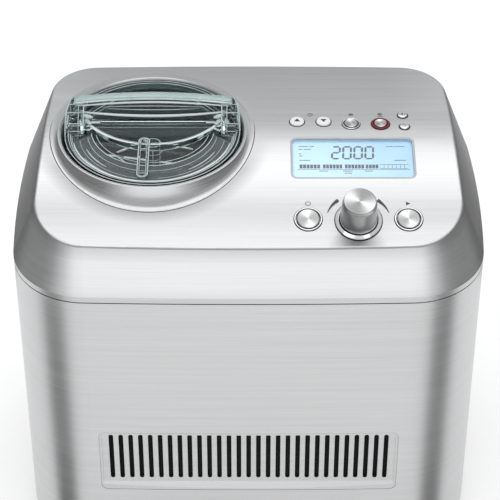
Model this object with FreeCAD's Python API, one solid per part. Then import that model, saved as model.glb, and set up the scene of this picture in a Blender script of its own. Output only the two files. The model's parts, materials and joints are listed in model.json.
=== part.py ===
import FreeCAD, Part
import os, math

os.makedirs("parts", exist_ok=True)

V = FreeCAD.Vector
Rot = FreeCAD.Rotation
Pla = FreeCAD.Placement

# ------------------------------------------------------------------ driving dimensions (mm)
HALF_W = 190.0            # half width of the body at its widest
HALF_D = 126.2            # half depth of the body
R_SIDE = 899.0            # gentle bow of each side wall
R_FACE = 4700.0           # gentle bow of the front and back walls
R_CORNER = 61.0           # plan radius of the four vertical corners
Y_WIDEST = -8.7           # where the side walls are widest

Z_SEAM = 285.5            # top of the cover's straight lip
Z_LIP = 280.2             # bottom of the cover's lip
Z_WRAP0, Z_WRAP1 = 12.0, 279.3   # bottom and top of the steel wrap
T_WRAP = 1.2
T_COVER = 2.4
DRAFT = 0.383             # inward lean of the cover's band, mm per mm of height

TOP_H = 62.9              # flat part of the panel above the seam
Y_BEND = 25.0             # the panel bends down in front of this line
R_PANEL = 394.3           # radius of the bent part of the panel

AX, AY = -77.8, 8.4       # bowl axis
Z_RIM = 349.8             # top of the collar
R_RIM = 76.8
R_COLLAR_IN = 73.2
R_LID = 70.9
Z_LID0, Z_LID1 = 331.0, 348.6
Z_CROWN = 368.0           # top of the lid's carrying bar

Z_DECK = 342.0            # top face of the lid's floor

BOWL_R, BOWL_T = 64.0, 1.5
Z_BOWL0, Z_BOWL1 = 188.0, 330.3
TUBE_RI, TUBE_RO, Z_TUBE = 10.5, 12.0, 222.0

PITCH = 8.134             # vent slots
N_SLOT = 29

GEAR_M, GEAR_Z, PIN_Z = 1.5, 60, 12
GEAR_Z0, GEAR_Z1 = 140.0, 150.0
MX = AX + GEAR_M * (GEAR_Z + PIN_Z) / 2.0      # motor axis
MY = AY

FANX, FANZ = 35.0, 96.0   # fan axis, parallel to Y

# controls on the panel: centre X, centre Y
UP, DOWN = (39.4, 21.0), (60.9, 21.0)
PRE, KEEP = (83.2, 18.3), (107.1, 18.3)
VOL, UNITS = (125.6, 29.9), (126.4, 14.6)
POWER, KNOB, START = (46.4, -85.8), (85.5, -87.0), (124.6, -85.8)
DISP = (83.2, -23.0)
DISP_W, DISP_D, DISP_R = 99.5, 46.9, 5.5
PRESS = 1.2               # travel of every push button


# ------------------------------------------------------------------ helpers
def box(x0, x1, y0, y1, z0, z1):
    return Part.makeBox(x1 - x0, y1 - y0, z1 - z0, V(x0, y0, z0))


def cyl(r, x, y, z0, z1):
    return Part.makeCylinder(r, z1 - z0, V(x, y, z0))


def cyl_y(r, x, z, y0, y1):
    return Part.makeCylinder(r, y1 - y0, V(x, y0, z), V(0, 1, 0))


def cyl_x(r, y, z, x0, x1):
    return Part.makeCylinder(r, x1 - x0, V(x0, y, z), V(1, 0, 0))


def ring(ro, ri, x, y, z0, z1):
    return cyl(ro, x, y, z0, z1).cut(cyl(ri, x, y, z0 - 1, z1 + 1))


def revolve(pts, x=0.0, y=0.0):
    """Closed (r, z) outline turned about the vertical line through x, y."""
    p = [V(r, 0, z) for r, z in pts]
    f = Part.Face(Part.makePolygon(p + [p[0]]))
    s = f.revolve(V(0, 0, 0), V(0, 0, 1), 360)
    s.translate(V(x, y, 0))
    return s


def fuse(*s):
    s = [k for k in s if k is not None]
    out = s[0].multiFuse(list(s[1:])) if len(s) > 1 else s[0]
    return out.removeSplitter()


def hexagon(af, z0, z1, x=0.0, y=0.0):
    r = af / math.sqrt(3.0)
    p = [V(x + r * math.cos(math.radians(60 * k)), y + r * math.sin(math.radians(60 * k)), z0) for k in range(7)]
    return Part.Face(Part.makePolygon(p)).extrude(V(0, 0, z1 - z0))


def rrect_wire(w, d, r, z):
    x, y = w / 2.0, d / 2.0
    c = math.sqrt(0.5)
    e = []

    def L(a, b):
        e.append(Part.LineSegment(V(a[0], a[1], z), V(b[0], b[1], z)).toShape())

    def A(cx, cy, a0):
        q = [V(cx + r * math.cos(math.radians(a)), cy + r * math.sin(math.radians(a)), z) for a in (a0, a0 + 45, a0 + 90)]
        e.append(Part.Arc(*q).toShape())

    L((-x + r, -y), (x - r, -y)); A(x - r, -y + r, -90)
    L((x, -y + r), (x, y - r)); A(x - r, y - r, 0)
    L((x - r, y), (-x + r, y)); A(-x + r, y - r, 90)
    L((-x, y - r), (-x, -y + r)); A(-x + r, -y + r, 180)
    return Part.Wire(e)


def rrect(w, d, r, z0, z1):
    return Part.Face(rrect_wire(w, d, r, z0)).extrude(V(0, 0, z1 - z0))


def rrect_xz(x0, x1, z0, z1, r, y0, y1):
    """Rounded rectangle in the XZ plane, extruded along Y."""
    s = rrect(x1 - x0, z1 - z0, r, 0.0, y1 - y0)
    s.rotate(V(0, 0, 0), V(1, 0, 0), 90)          # local z -> -Y, local y -> Z
    s.translate(V((x0 + x1) / 2.0, y1, (z0 + z1) / 2.0))
    return s


def slot_xz(x, z0, z1, r, y0, y1):
    b = box(x - r, x + r, y0, y1, z0 + r, z1 - r)
    return b.fuse(cyl_y(r, x, z0 + r, y0, y1)).fuse(cyl_y(r, x, z1 - r, y0, y1)).removeSplitter()


# plan outline: four bowed walls and four corner arcs, offset inwards by o
def _corner():
    cs = V(HALF_W - R_SIDE, Y_WIDEST, 0)           # centre of the right-hand side arc
    cf = V(0, -HALF_D + R_FACE, 0)                 # centre of the front arc
    r0, r1 = R_SIDE - R_CORNER, R_FACE - R_CORNER
    dv = cf - cs
    L = dv.Length
    a = (r0 * r0 - r1 * r1 + L * L) / (2 * L)
    h = math.sqrt(max(0.0, r0 * r0 - a * a))
    u = dv * (1.0 / L)
    p = cs + u * a
    n = V(u.y, -u.x, 0)
    q1, q2 = p + n * h, p - n * h
    f = q1 if q1.x > q2.x else q2
    return cs, cf, f


CS, CF, CRF = _corner()
# back arc mirrors the front arc; the rear corner is solved with the same radii
def _corner_back():
    cb = V(0, HALF_D - R_FACE, 0)
    r0, r1 = R_SIDE - R_CORNER, R_FACE - R_CORNER
    dv = cb - CS
    L = dv.Length
    a = (r0 * r0 - r1 * r1 + L * L) / (2 * L)
    h = math.sqrt(max(0.0, r0 * r0 - a * a))
    u = dv * (1.0 / L)
    p = CS + u * a
    n = V(u.y, -u.x, 0)
    q1, q2 = p + n * h, p - n * h
    return cb, (q1 if q1.x > q2.x else q2)


CB, CRB = _corner_back()


def _on(c, r, toward):
    d = toward - c
    return c + d * (r / d.Length)


def outline(o, z):
    def lift(p):
        return V(p.x, p.y, z)

    def mir(p):
        return V(-p.x, p.y, p.z)

    def mid(c, r, p, q):
        m = (p + q) * 0.5 - c
        return c + m * (r / m.Length)

    rs, rf, rc = R_SIDE - o, R_FACE - o, R_CORNER - o
    f1 = _on(CF, rf, CRF)          # front arc end, right
    s1 = _on(CS, rs, CRF)          # side arc front end
    s2 = _on(CS, rs, CRB)          # side arc rear end
    b1 = _on(CB, rf, CRB)          # back arc end, right
    pts = []
    pts.append((mir(f1), V(0, -HALF_D + o, 0), f1))
    pts.append((f1, mid(CRF, rc, f1, s1), s1))
    pts.append((s1, V(HALF_W - o, Y_WIDEST, 0), s2))
    pts.append((s2, mid(CRB, rc, s2, b1), b1))
    pts.append((b1, V(0, HALF_D - o, 0), mir(b1)))
    pts.append((mir(b1), mir(mid(CRB, rc, s2, b1)), mir(s2)))
    pts.append((mir(s2), V(-HALF_W + o, Y_WIDEST, 0), mir(s1)))
    pts.append((mir(s1), mir(mid(CRF, rc, f1, s1)), mir(f1)))
    return Part.Wire([Part.Arc(lift(a), lift(b), lift(c)).toShape() for a, b, c in pts])


def prism(o, z0, z1):
    return Part.Face(outline(o, z0)).extrude(V(0, 0, z1 - z0))


def wall(o0, o1, z0, z1):
    return prism(o0, z0, z1).cut(prism(o1, z0 - 1, z1 + 1))


def drafted(o, z0, z1):
    """Prism leaning inwards by DRAFT above the seam."""
    return Part.makeLoft([outline(o, z0), outline(o + DRAFT * (z1 - z0), z1)], True, True)


def under_panel(t):
    """Everything below the panel surface lowered by t."""
    r = R_PANEL - t
    zc = Z_SEAM + TOP_H - R_PANEL
    y0 = -150.0
    a0 = math.atan2(math.sqrt(r * r - (y0 - Y_BEND) ** 2), y0 - Y_BEND)
    p0 = V(-210, y0, zc + r * math.sin(a0))
    am = (a0 + math.pi / 2) / 2
    pm = V(-210, Y_BEND + r * math.cos(am), zc + r * math.sin(am))
    p1 = V(-210, Y_BEND, zc + r)
    e = [Part.Arc(p0, pm, p1).toShape(),
         Part.LineSegment(p1, V(-210, 150, zc + r)).toShape(),
         Part.LineSegment(V(-210, 150, zc + r), V(-210, 150, 200)).toShape(),
         Part.LineSegment(V(-210, 150, 200), V(-210, y0, 200)).toShape(),
         Part.LineSegment(V(-210, y0, 200), p0).toShape()]
    return Part.Face(Part.Wire(e)).extrude(V(420, 0, 0))


def surf_z(y):
    if y > Y_BEND:
        return Z_SEAM + TOP_H
    return Z_SEAM + TOP_H - (R_PANEL - math.sqrt(R_PANEL ** 2 - (y - Y_BEND) ** 2))


def slope(y):
    return 0.0 if y > Y_BEND else math.degrees(math.asin((Y_BEND - y) / R_PANEL))


def frame_at(x, y, s=None):
    """Placement whose origin is on the panel and whose z is the panel's normal."""
    return Pla(V(x, y, surf_z(y)), Rot(V(1, 0, 0), slope(y) if s is None else s))


def at(shape, pl):
    q = shape.copy()
    q.Placement = pl.multiply(q.Placement)
    return q


OUT = {}


def put(name, shape):
    OUT[name] = shape


# ------------------------------------------------------------------ collar curve
def r_base(th):
    s = math.sin(th)
    return 82.7 + (5.0 * s * s if s < 0 else -1.2 * s * s)


def z_base(th):
    return surf_z(AY + r_base(th) * math.sin(th))


def r_flare(th, z, r_top, z_top):
    zb = z_base(th)
    if z <= zb:
        return r_base(th)
    t = 1.0 - math.sqrt(max(0.0, (z - zb) / (z_top - zb)))
    return r_top + (r_base(th) - r_top) * t


def closed_curve(fn, z, n=60):
    pts = []
    for k in range(n):
        th = 2 * math.pi * k / n
        r = fn(th)
        pts.append(V(AX + r * math.cos(th), AY + r * math.sin(th), z))
    c = Part.BSplineCurve()
    c.interpolate(Points=pts, PeriodicFlag=True)
    return Part.Wire([c.toShape()])


# ------------------------------------------------------------------ top cover
screw_xy = [(-165.0, -75.0), (-165.0, 88.0), (165.0, -75.0), (165.0, 88.0), (20.0, 108.0), (-10.0, -112.0)]

outer = fuse(drafted(0.0, Z_SEAM, Z_SEAM + 72), prism(0.0, Z_LIP, Z_SEAM))
outer = outer.common(under_panel(0.0))
crease = []
for e in outer.Edges:
    bb = e.BoundBox
    zs = [v.Z for v in e.Vertexes]
    if min(zs) > Z_SEAM + 25 and e.Length > 5:
        crease.append(e)
try:
    o2 = outer.makeFillet(3.2, crease)
    if o2.isValid() and o2.Volume > 0.9 * outer.Volume:
        outer = o2
except Exception as err:
    print("crease fillet skipped", err)

inner = fuse(drafted(T_COVER, Z_SEAM, Z_SEAM + 72), prism(T_COVER, Z_LIP - 1, Z_SEAM)).common(under_panel(T_COVER))
cover = outer.cut(inner)
skirt = wall(1.6, 3.4, 271.0, Z_SEAM)
cover = cover.fuse(skirt)
low = fuse(drafted(T_COVER - 0.6, Z_SEAM, Z_SEAM + 72), prism(T_COVER - 0.6, 240.0, Z_SEAM)).common(under_panel(T_COVER - 0.6))
for (x, y) in screw_xy:
    cover = cover.fuse(cyl(5.0, x, y, 263.6, 360.0).common(low))
    cover = cover.cut(cyl(2.0, x, y, 262.0, 281.0))

# openings in the cover
hole = Part.Face(closed_curve(lambda th: r_base(th) + 0.3, 300.0)).extrude(V(0, 0, 70))
cover = cover.cut(hole)
PD = frame_at(*DISP)
cover = cover.cut(at(rrect(DISP_W, DISP_D, DISP_R, -12, 8), PD))

RING_P, RING_K, RING_S, RING_KEEP = 11.0, 18.5, 7.3, 7.6
holes = [(UP, 6.15), (DOWN, 6.15), (PRE, RING_S + 0.1), (KEEP, RING_KEEP + 0.1), (VOL, 4.3), (UNITS, 4.3),
         (POWER, RING_P + 0.1), (START, RING_P + 0.1), (KNOB, RING_K + 0.1)]
for (c, r) in holes:
    cover = cover.cut(at(cyl(r, 0, 0, -10, 8), frame_at(*c)))

# boards hang from posts under the panel
BZ = -14.0                                  # board face below the display's plane
PB = frame_at(*DISP)
PK = frame_at(*KNOB)
post_main = [(-50.0, 60.0), (50.0, 60.0), (-56.0, -5.0), (56.0, -5.0)]
post_knob = [(-53.8, 9.0), (53.8, 9.0)]
for (x, y) in post_main:
    cover = cover.fuse(at(cyl(2.6, x, y, BZ, 12), PB).common(low))
    cover = cover.cut(at(cyl(1.1, x, y, BZ - 1, BZ + 7), PB))
for (x, y) in post_knob:
    cover = cover.fuse(at(cyl(2.6, x, y, BZ, 12), PK).common(low))
    cover = cover.cut(at(cyl(1.1, x, y, BZ - 1, BZ + 7), PK))
put("top_cover", cover.removeSplitter())

# ------------------------------------------------------------------ collar around the bowl
ztop = Z_RIM - 0.5
levels = [ztop, 348.95, 348.4, 347.4, 345.8, 343.6, 341.0, 338.2, 335.8, 334.0, 328.4]
secs = [closed_curve(lambda th: R_RIM - 0.55, Z_RIM)]
secs += [closed_curve(lambda th, z=z: r_flare(th, z, R_RIM, ztop), z) for z in levels]
collar = Part.makeLoft(secs, True, True)
collar = collar.cut(revolve([(0, 320), (R_COLLAR_IN, 320), (R_COLLAR_IN, Z_RIM - 2.2), (R_COLLAR_IN + 1.6, Z_RIM - 0.35),
                             (R_COLLAR_IN + 2.0, Z_RIM), (R_COLLAR_IN + 2.0, Z_RIM + 2), (0, Z_RIM + 2)], AX, AY))
put("bowl_collar", collar)

# ------------------------------------------------------------------ steel wrap
wrap = wall(0.0, T_WRAP, Z_WRAP0, Z_WRAP1)
inside = prism(T_WRAP - 0.4, 0, 400)
tabs = []
for (x, y) in screw_xy:
    if abs(x) > 100:
        sx = 1 if x > 0 else -1
        x0, x1 = (x - 8, 195) if sx > 0 else (-195, x + 8)
        t = box(x0, x1, y - 8, y + 8, 262.0, 263.4)
    else:
        y0, y1 = (y - 8, 130) if y > 0 else (-130, y + 8)
        t = box(x - 9, x + 9, y0, y1, 262.0, 263.4)
    tabs.append(t.common(inside).cut(cyl(2.2, x, y, 250, 270)))
base_xy = [(-172.0, -50.0), (-172.0, 66.0), (172.0, -50.0), (172.0, 66.0), (0.0, 112.0), (0.0, -113.0)]
for (x, y) in base_xy:
    if abs(x) > 100:
        sx = 1 if x > 0 else -1
        x0, x1 = (x - 7, 195) if sx > 0 else (-195, x + 7)
        t = box(x0, x1, y - 7, y + 7, 32.0, 33.6)
    else:
        y0, y1 = (y - 7, 130) if y > 0 else (-130, y + 7)
        t = box(x - 8, x + 8, y0, y1, 32.0, 33.6)
    tabs.append(t.common(inside).cut(cyl(2.0, x, y, 20, 40)))
wrap = fuse(wrap, *tabs)
GX, GZ0, GZ1 = 123.8, 72.3, 138.5
wrap = wrap.cut(rrect_xz(-GX, GX, GZ0, GZ1, 5.5, -140, -100))
RX, RZ0, RZ1 = 140.0, 40.0, 250.0
wrap = wrap.cut(rrect_xz(-RX, RX, RZ0, RZ1, 9.0, 100, 140))
put("outer_wrap", wrap)

# ------------------------------------------------------------------ front vent grille
g = wall(0.12, 4.2, GZ0 - 6, GZ1 + 6).common(box(-GX - 8, GX + 8, -140, -90, GZ0 - 6, GZ1 + 6))
face = rrect_xz(-GX + 0.25, GX - 0.25, GZ0 + 0.25, GZ1 - 0.25, 5.3, -140, -100)
flange = wall(T_WRAP + 0.2, 4.2, GZ0 - 5, GZ1 + 5).common(box(-GX - 6, GX + 6, -140, -90, GZ0 - 5, GZ1 + 5))
g = g.common(face).fuse(flange)
# sunk field with a sloping lower lip
fx = GX - 2.0
poly = [V(-fx, -140, 80.6), V(-fx, -HALF_D + 2.7, 80.6), V(-fx, -HALF_D + 2.7, GZ1 - 1.8), V(-fx, -140, GZ1 - 1.8)]
field = Part.Face(Part.makePolygon(poly + [poly[0]])).extrude(V(2 * fx, 0, 0))
lip = [V(-fx, -140, 73.4), V(-fx, -HALF_D - 0.2, 73.6), V(-fx, -HALF_D + 2.7, 80.6), V(-fx, -140, 80.6)]
field = field.fuse(Part.Face(Part.makePolygon(lip + [lip[0]])).extrude(V(2 * fx, 0, 0)))
corner = rrect_xz(-fx, fx, 66.0, GZ1 - 1.8, 4.0, -141, -90)
g = g.cut(field.common(corner))
slots = [slot_xz((k - (N_SLOT - 1) / 2.0) * PITCH, 84.8, 135.0, 1.95, -135, -105) for k in range(N_SLOT)]
g = g.cut(Part.makeCompound(slots))
put("front_vent_grille", g.removeSplitter())

# ------------------------------------------------------------------ rear panel with louvres and lead inlet
rp = wall(0.15, 2.4, 41, 249).common(rrect_xz(-RX + 0.3, RX - 0.3, RZ0 + 0.3, RZ1 - 0.3, 8.7, 90, 140))
rp = rp.fuse(wall(T_WRAP + 0.2, 2.4, 32, 258).common(rrect_xz(-RX - 6, RX + 6, RZ0 - 5, RZ1 + 6, 12, 90, 140)))
lou = []
for k in range(15):
    z = 122.0 + 7.6 * k
    for sx in (-1, 1):
        lou.append(box(min(sx * 8, sx * 118), max(sx * 8, sx * 118), 115, 135, z, z + 3.2))
rp = rp.cut(Part.makeCompound(lou))
IX, IZ = 104.0, 66.0
rp = rp.cut(cyl_y(11.0, IX, IZ, 110, 140))
put("rear_panel", rp)
yb = HALF_D - (R_FACE - math.sqrt(R_FACE ** 2 - IX ** 2))       # outer face of the back wall at the inlet
gl = cyl_y(10.9, IX, IZ, yb - 10.0, yb - 0.3).fuse(cyl_y(14.5, IX, IZ, yb - 10.0, yb - 3.4))
gl = gl.cut(cyl_y(3.9, IX, IZ, yb - 12, yb + 2)).cut(Part.makeCone(3.9, 8.5, 3.2, V(IX, yb - 3.4, IZ), V(0, 1, 0)))
put("lead_inlet_gland", gl)

# ------------------------------------------------------------------ base pan, feet, screws
pan = prism(1.0, 6.0, 11.8).fuse(prism(1.7, 11.8, 30.0))
pan = pan.cut(prism(4.2, 11.0, 31.0)).cut(prism(6.0, 5.0, 8.0))
for (x, y) in base_xy:
    pan = pan.fuse(cyl(6.5, x, y, 8.0, 31.8).common(prism(1.7, 0, 60)))
for (x, y) in base_xy:
    pan = pan.cut(cyl(2.3, x, y, 5, 40)).cut(cyl(4.3, x, y, 5, 12.2))
foot_xy = [(-150.0, -86.0), (150.0, -86.0), (-150.0, 88.0), (150.0, 88.0)]
for (x, y) in foot_xy:
    pan = pan.cut(cyl(3.1, x, y, 5, 15))
for k in range(9):                                     # air intake in the floor under the fan
    pan = pan.cut(box(FANX - 44 + 10 * k, FANX - 40 + 10 * k, -62, -22, 5, 14))
put("base_pan", pan.removeSplitter())

feet = []
for (x, y) in foot_xy:
    feet.append(fuse(revolve([(0, 0), (11.5, 0), (13.0, 1.5), (13.6, 8.0), (0, 8.0)], x, y), cyl(3.0, x, y, 7.5, 15.5),
                     revolve([(0, 11.0), (4.6, 11.0), (3.0, 14.5), (0, 14.5)], x, y)))
put("feet", Part.makeCompound(feet))


def screw(x, y, z_head, z_tip, r_head=3.8, h_head=3.0, r=1.95):
    """Screw driven upwards: the head's bearing face at z_head."""
    s = fuse(revolve([(0, z_head - h_head), (r_head - 0.9, z_head - h_head), (r_head, z_head - h_head + 0.9), (r_head, z_head), (0, z_head)], x, y),
             cyl(r, x, y, z_head - 0.5, z_tip))
    return s.cut(box(x - 2.2, x + 2.2, y - 0.5, y + 0.5, z_head - h_head - 1, z_head - h_head + 1.4)) \
            .cut(box(x - 0.5, x + 0.5, y - 2.2, y + 2.2, z_head - h_head - 1, z_head - h_head + 1.4))


put("cover_screws", Part.makeCompound([screw(x, y, 262.0, 279.0) for (x, y) in screw_xy]))
put("base_screws", Part.makeCompound([screw(x, y, 12.2, 38.0) for (x, y) in base_xy]))

# ------------------------------------------------------------------ display
panel_solid = under_panel(0.05)
bz = at(rrect(DISP_W - 0.3, DISP_D - 0.3, DISP_R - 0.1, -6.0, 3), PD).cut(at(rrect(DISP_W - 3.2, DISP_D - 3.2, DISP_R - 1.5, -8, 5), PD))
bz = bz.fuse(at(rrect(DISP_W + 5.0, DISP_D + 5.0, DISP_R + 2, -6.0, -4.2), PD).cut(at(rrect(DISP_W - 6.0, DISP_D - 6.0, DISP_R - 2.5, -8, 5), PD)))
put("display_bezel", bz.common(panel_solid))
put("display_window", at(rrect(DISP_W - 3.4, DISP_D - 3.4, DISP_R - 1.6, -4.2, -2.0), PD))
lcd = rrect(DISP_W - 8.0, DISP_D - 8.0, 2.0, -10.5, -4.3)
for sx in (-1, 1):
    for sy in (-1, 1):
        lcd = lcd.fuse(cyl(1.8, sx * 42, sy * 16.0, BZ, -10.0))
put("lcd_module", at(lcd, PD))


# tactile switch bodies on a board plane, one under each button
def board_drop(c, plane):
    """Distance from a control's panel point down its own normal to the board's face."""
    f = frame_at(*c)
    n = f.Rotation.multVec(V(0, 0, 1))
    pn = plane.Rotation.multVec(V(0, 0, 1))
    p0 = plane.multVec(V(0, 0, BZ))
    return (f.Base - p0).dot(pn) / n.dot(pn)


STEM = 8.0
bw, bd = 119.0, 92.0
main = rrect(bw, bd, 3.0, BZ - 1.6, BZ)
main.translate(V(0, 18.5, 0))
main = at(main, PD)
for (x, y) in post_main:
    main = main.cut(at(cyl(1.3, x, y, BZ - 3, BZ + 1), PB))


def tact(c, plane, stem):
    d = board_drop(c, plane)
    h = d - stem - PRESS - 0.5
    f = frame_at(*c)
    s = box(-3, 3, -3, 3, -d - 0.6, -d + h - 0.8).fuse(cyl(1.6, 0, 0, -d - 0.6, -d + h))
    return at(s, f)


STEM_TOP = 7.6
for c in (UP, DOWN, PRE, KEEP, VOL, UNITS):
    main = main.fuse(tact(c, PD, STEM_TOP))
chips = [box(-20, -2, 8, 26, BZ - 4.0, BZ - 1.2), box(12, 26, 6, 20, BZ - 3.6, BZ - 1.2), box(-48, -30, -16, -8, BZ - 8.0, BZ - 1.2)]
for c in chips:
    main = main.fuse(at(c, PD))
put("control_board", main.removeSplitter())

kb = at(rrect(114.0, 30.0, 3.0, BZ - 1.6, BZ), PK)
for (x, y) in post_knob:
    kb = kb.cut(at(cyl(1.3, x, y, BZ - 3, BZ + 1), PK))
for c in (POWER, START):
    kb = kb.fuse(tact(c, PK, STEM))
put("knob_board", kb.removeSplitter())

scr = []
for (pl, lst) in ((PB, post_main), (PK, post_knob)):
    for (x, y) in lst:
        s = fuse(cyl(2.2, x, y, BZ - 3.2, BZ - 1.6), cyl(1.05, x, y, BZ - 2, BZ + 5.5))
        scr.append(at(s.cut(box(x - 1.5, x + 1.5, y - 0.35, y + 0.35, BZ - 4, BZ - 2.6)), pl))
put("board_screws", Part.makeCompound(scr))

# ------------------------------------------------------------------ knob, its base ring and encoder
kr = revolve([(4.2, -4.6), (RING_K + 1.8, -4.6), (RING_K + 1.8, -3.4), (RING_K, -3.4), (RING_K, 0.7), (RING_K - 0.5, 1.15),
              (15.9, 2.2), (15.4, 2.0), (15.4, -1.4), (4.2, -1.4)])
put("knob_base_ring", at(kr, PK))
enc = fuse(box(-6.5, 6.5, -6.5, 6.5, BZ, -6.2), cyl(3.9, 0, 0, -6.5, 0.2))
enc = enc.cut(cyl(3.05, 0, 0, BZ + 1.5, 3))
put("encoder", at(enc, PK))
put("knob_shaft", at(fuse(cyl(3.0, 0, 0, BZ + 2.0, 19.0)), PK))
kn = revolve([(0, 0.6), (13.9, 0.6), (14.75, 1.5), (13.5, 22.4), (13.3, 22.6), (13.1, 23.3), (13.2, 24.1), (12.6, 25.6), (12.2, 26.0), (4.0, 26.0),
              (0, 25.75)])
kn = kn.cut(cyl(3.0, 0, 0, -1, 19.0)).cut(revolve([(4.6, -1), (12.2, -1), (11.6, 18.0), (4.6, 18.0)]))
put("selector_knob", at(kn, PK))


# ------------------------------------------------------------------ push buttons and their rings
def cap(r, proud, dome, flange_z, stem_end, edge=0.6, rf=1.1):
    p = [(0, flange_z - 1.2), (r + rf, flange_z - 1.2), (r + rf, flange_z), (r, flange_z), (r, proud - edge), (r - 0.35 * edge, proud - 0.3 * edge),
         (r - edge, proud), (r * 0.6, proud + dome * 0.64), (r * 0.3, proud + dome * 0.91), (0, proud + dome)]
    s = revolve(p)
    return fuse(s, cyl(2.0, 0, 0, -stem_end, flange_z - 0.6))


def finger_ring(ro, ri, proud):
    return revolve([(ri, -4.6), (ro + 1.5, -4.6), (ro + 1.5, -3.4), (ro, -3.4), (ro, proud - 0.5), (ro - 0.5, proud), (ri + 0.35, proud - 0.15), (ri, proud - 0.6)])


put("timer_up_button", at(cap(5.85, 1.6, 0.25, -3.4, STEM_TOP, 1.0), frame_at(*UP)))
put("timer_down_button", at(cap(5.85, 1.6, 0.25, -3.4, STEM_TOP, 1.0), frame_at(*DOWN)))
put("volume_button", at(cap(4.0, 1.3, 0.2, -3.4, STEM_TOP, 0.8), frame_at(*VOL)))
put("units_button", at(cap(4.0, 1.3, 0.2, -3.4, STEM_TOP, 0.8), frame_at(*UNITS)))
put("precool_ring", at(finger_ring(RING_S, 5.75, 0.9), frame_at(*PRE)))
put("precool_button", at(cap(5.45, 1.5, -0.25, -4.85, STEM_TOP, 0.5, 0.8), frame_at(*PRE)))
put("keepcool_light_ring", at(finger_ring(RING_KEEP, 5.45, 0.9), frame_at(*KEEP)))
put("keepcool_button", at(cap(5.15, 1.5, -0.25, -4.85, STEM_TOP, 0.5, 0.8), frame_at(*KEEP)))
put("power_ring", at(finger_ring(RING_P, 9.1, 1.0), frame_at(*POWER)))
put("power_button", at(cap(8.8, 1.5, -0.35, -4.85, STEM, 0.6, 1.0), frame_at(*POWER)))
put("start_ring", at(finger_ring(RING_P, 9.1, 1.0), frame_at(*START)))
put("start_button", at(cap(8.8, 1.5, -0.35, -4.85, STEM, 0.6, 1.0), frame_at(*START)))

# ------------------------------------------------------------------ bowl, cold well and insulation
bowl = revolve([(TUBE_RO, Z_BOWL0 + BOWL_T), (BOWL_R - BOWL_T - 6, Z_BOWL0 + BOWL_T), (BOWL_R - BOWL_T - 1.8, Z_BOWL0 + BOWL_T + 1.8), (BOWL_R - BOWL_T, Z_BOWL0 + 7.5),
                (BOWL_R - BOWL_T, Z_BOWL1), (69.8, Z_BOWL1), (70.2, Z_BOWL1 - 0.5), (70.2, Z_BOWL1 - 1.3), (69.8, Z_BOWL1 - 1.7), (BOWL_R, Z_BOWL1 - 1.7),
                (BOWL_R, Z_BOWL0 + 7.2), (BOWL_R - 2.1, Z_BOWL0 + 2.1), (BOWL_R - 7, Z_BOWL0), (TUBE_RI, Z_BOWL0), (TUBE_RI, Z_TUBE), (TUBE_RO, Z_TUBE)], AX, AY)
put("freezer_bowl", bowl)
WELL_R = 65.4
well = revolve([(9.0, 183.0), (WELL_R, 183.0), (WELL_R, 326.8), (78.5, 326.8), (78.5, 328.1), (WELL_R - 1.2, 328.1), (WELL_R - 1.2, 184.3), (9.0, 184.3)], AX, AY)
put("evaporator_well", well)
coil = None
RC, rc = 70.4, 4.0
zs = [196.0 + 10.5 * k for k in range(12)]
for z in zs:
    t = Part.makeTorus(RC, rc, V(AX, AY, z))
    coil = t if coil is None else coil.fuse(t)
coil = coil.fuse(cyl(3.0, AX + RC, AY, zs[0], zs[-1]))
stub_z = zs[0]
coil = coil.fuse(cyl_x(3.0, AY, stub_z, AX + RC, AX + 112.0))
put("evaporator_coil", coil)
ins = revolve([(8.95, 172.0), (92.0, 172.0), (92.0, 326.6), (75.2, 326.6), (75.2, 182.8), (8.95, 182.8)], AX, AY)
ins = ins.cut(cyl_x(3.6, AY, stub_z, AX + 70, AX + 120))
put("insulation_shell", ins)

# ------------------------------------------------------------------ bracket that carries the well and the gearbox
legs = [45.0, 165.0, 285.0]
RL = 88.0
br = ring(96.0, 56.0, AX, AY, 168.0, 171.9)
leg_xy = [(AX + RL * math.cos(math.radians(a)), AY + RL * math.sin(math.radians(a))) for a in legs]
for (x, y) in leg_xy:
    br = br.fuse(box(x - 5, x + 5, y - 5, y + 5, 11.0, 169.0)).fuse(box(x - 9, x + 9, y - 9, y + 9, 11.0, 13.5))
put("well_bracket", br.removeSplitter())
gp = box(AX - 56, MX + 34, AY - 40, AY + 40, 154.0, 157.5).fuse(box(AX - 56, MX + 34, AY - 40, AY + 40, 129.0, 132.0))
for (x, y) in ((AX - 51, AY - 35), (AX - 51, AY + 35), (MX + 29, AY - 35), (MX + 29, AY + 35)):
    gp = gp.fuse(cyl(4.0, x, y, 131.0, 155.0))
for a in (105.0, 225.0, 345.0):
    x, y = AX + 62 * math.cos(math.radians(a)), AY + 62 * math.sin(math.radians(a))
    if AX - 56 < x < MX + 34 and AY - 40 < y < AY + 40:
        gp = gp.fuse(cyl(5.0, x, y, 157.0, 168.0))
for (x, y) in ((AX - 44, AY + 39), (AX - 44, AY - 39), (AX + 44, AY + 39), (AX + 44, AY - 39)):
    gp = gp.fuse(cyl(5.0, x, y, 154.0, 168.0))
gp = gp.cut(cyl(9.0, AX, AY, 120, 170)).cut(cyl(6.0, MX, MY, 120, 140)).cut(cyl(4.0, MX, MY, 150, 160))
put("gear_plate", gp.removeSplitter())
bush = []
for (z0, z1) in ((172.0, 184.6), (153.0, 158.5), (128.0, 133.0)):
    bush.append(ring(8.9, 5.05, AX, AY, z0, z1))
put("spindle_bearings", Part.makeCompound(bush))

# ------------------------------------------------------------------ drive train
spin = fuse(cyl(5.0, AX, AY, 126.0, 223.5), hexagon(11.0, 223.0, 238.0, AX, AY))
flat = box(AX + 4.0, AX + 8, AY - 8, AY + 8, GEAR_Z0 - 1, GEAR_Z1 + 1)
put("drive_spindle", spin.cut(flat))


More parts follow.
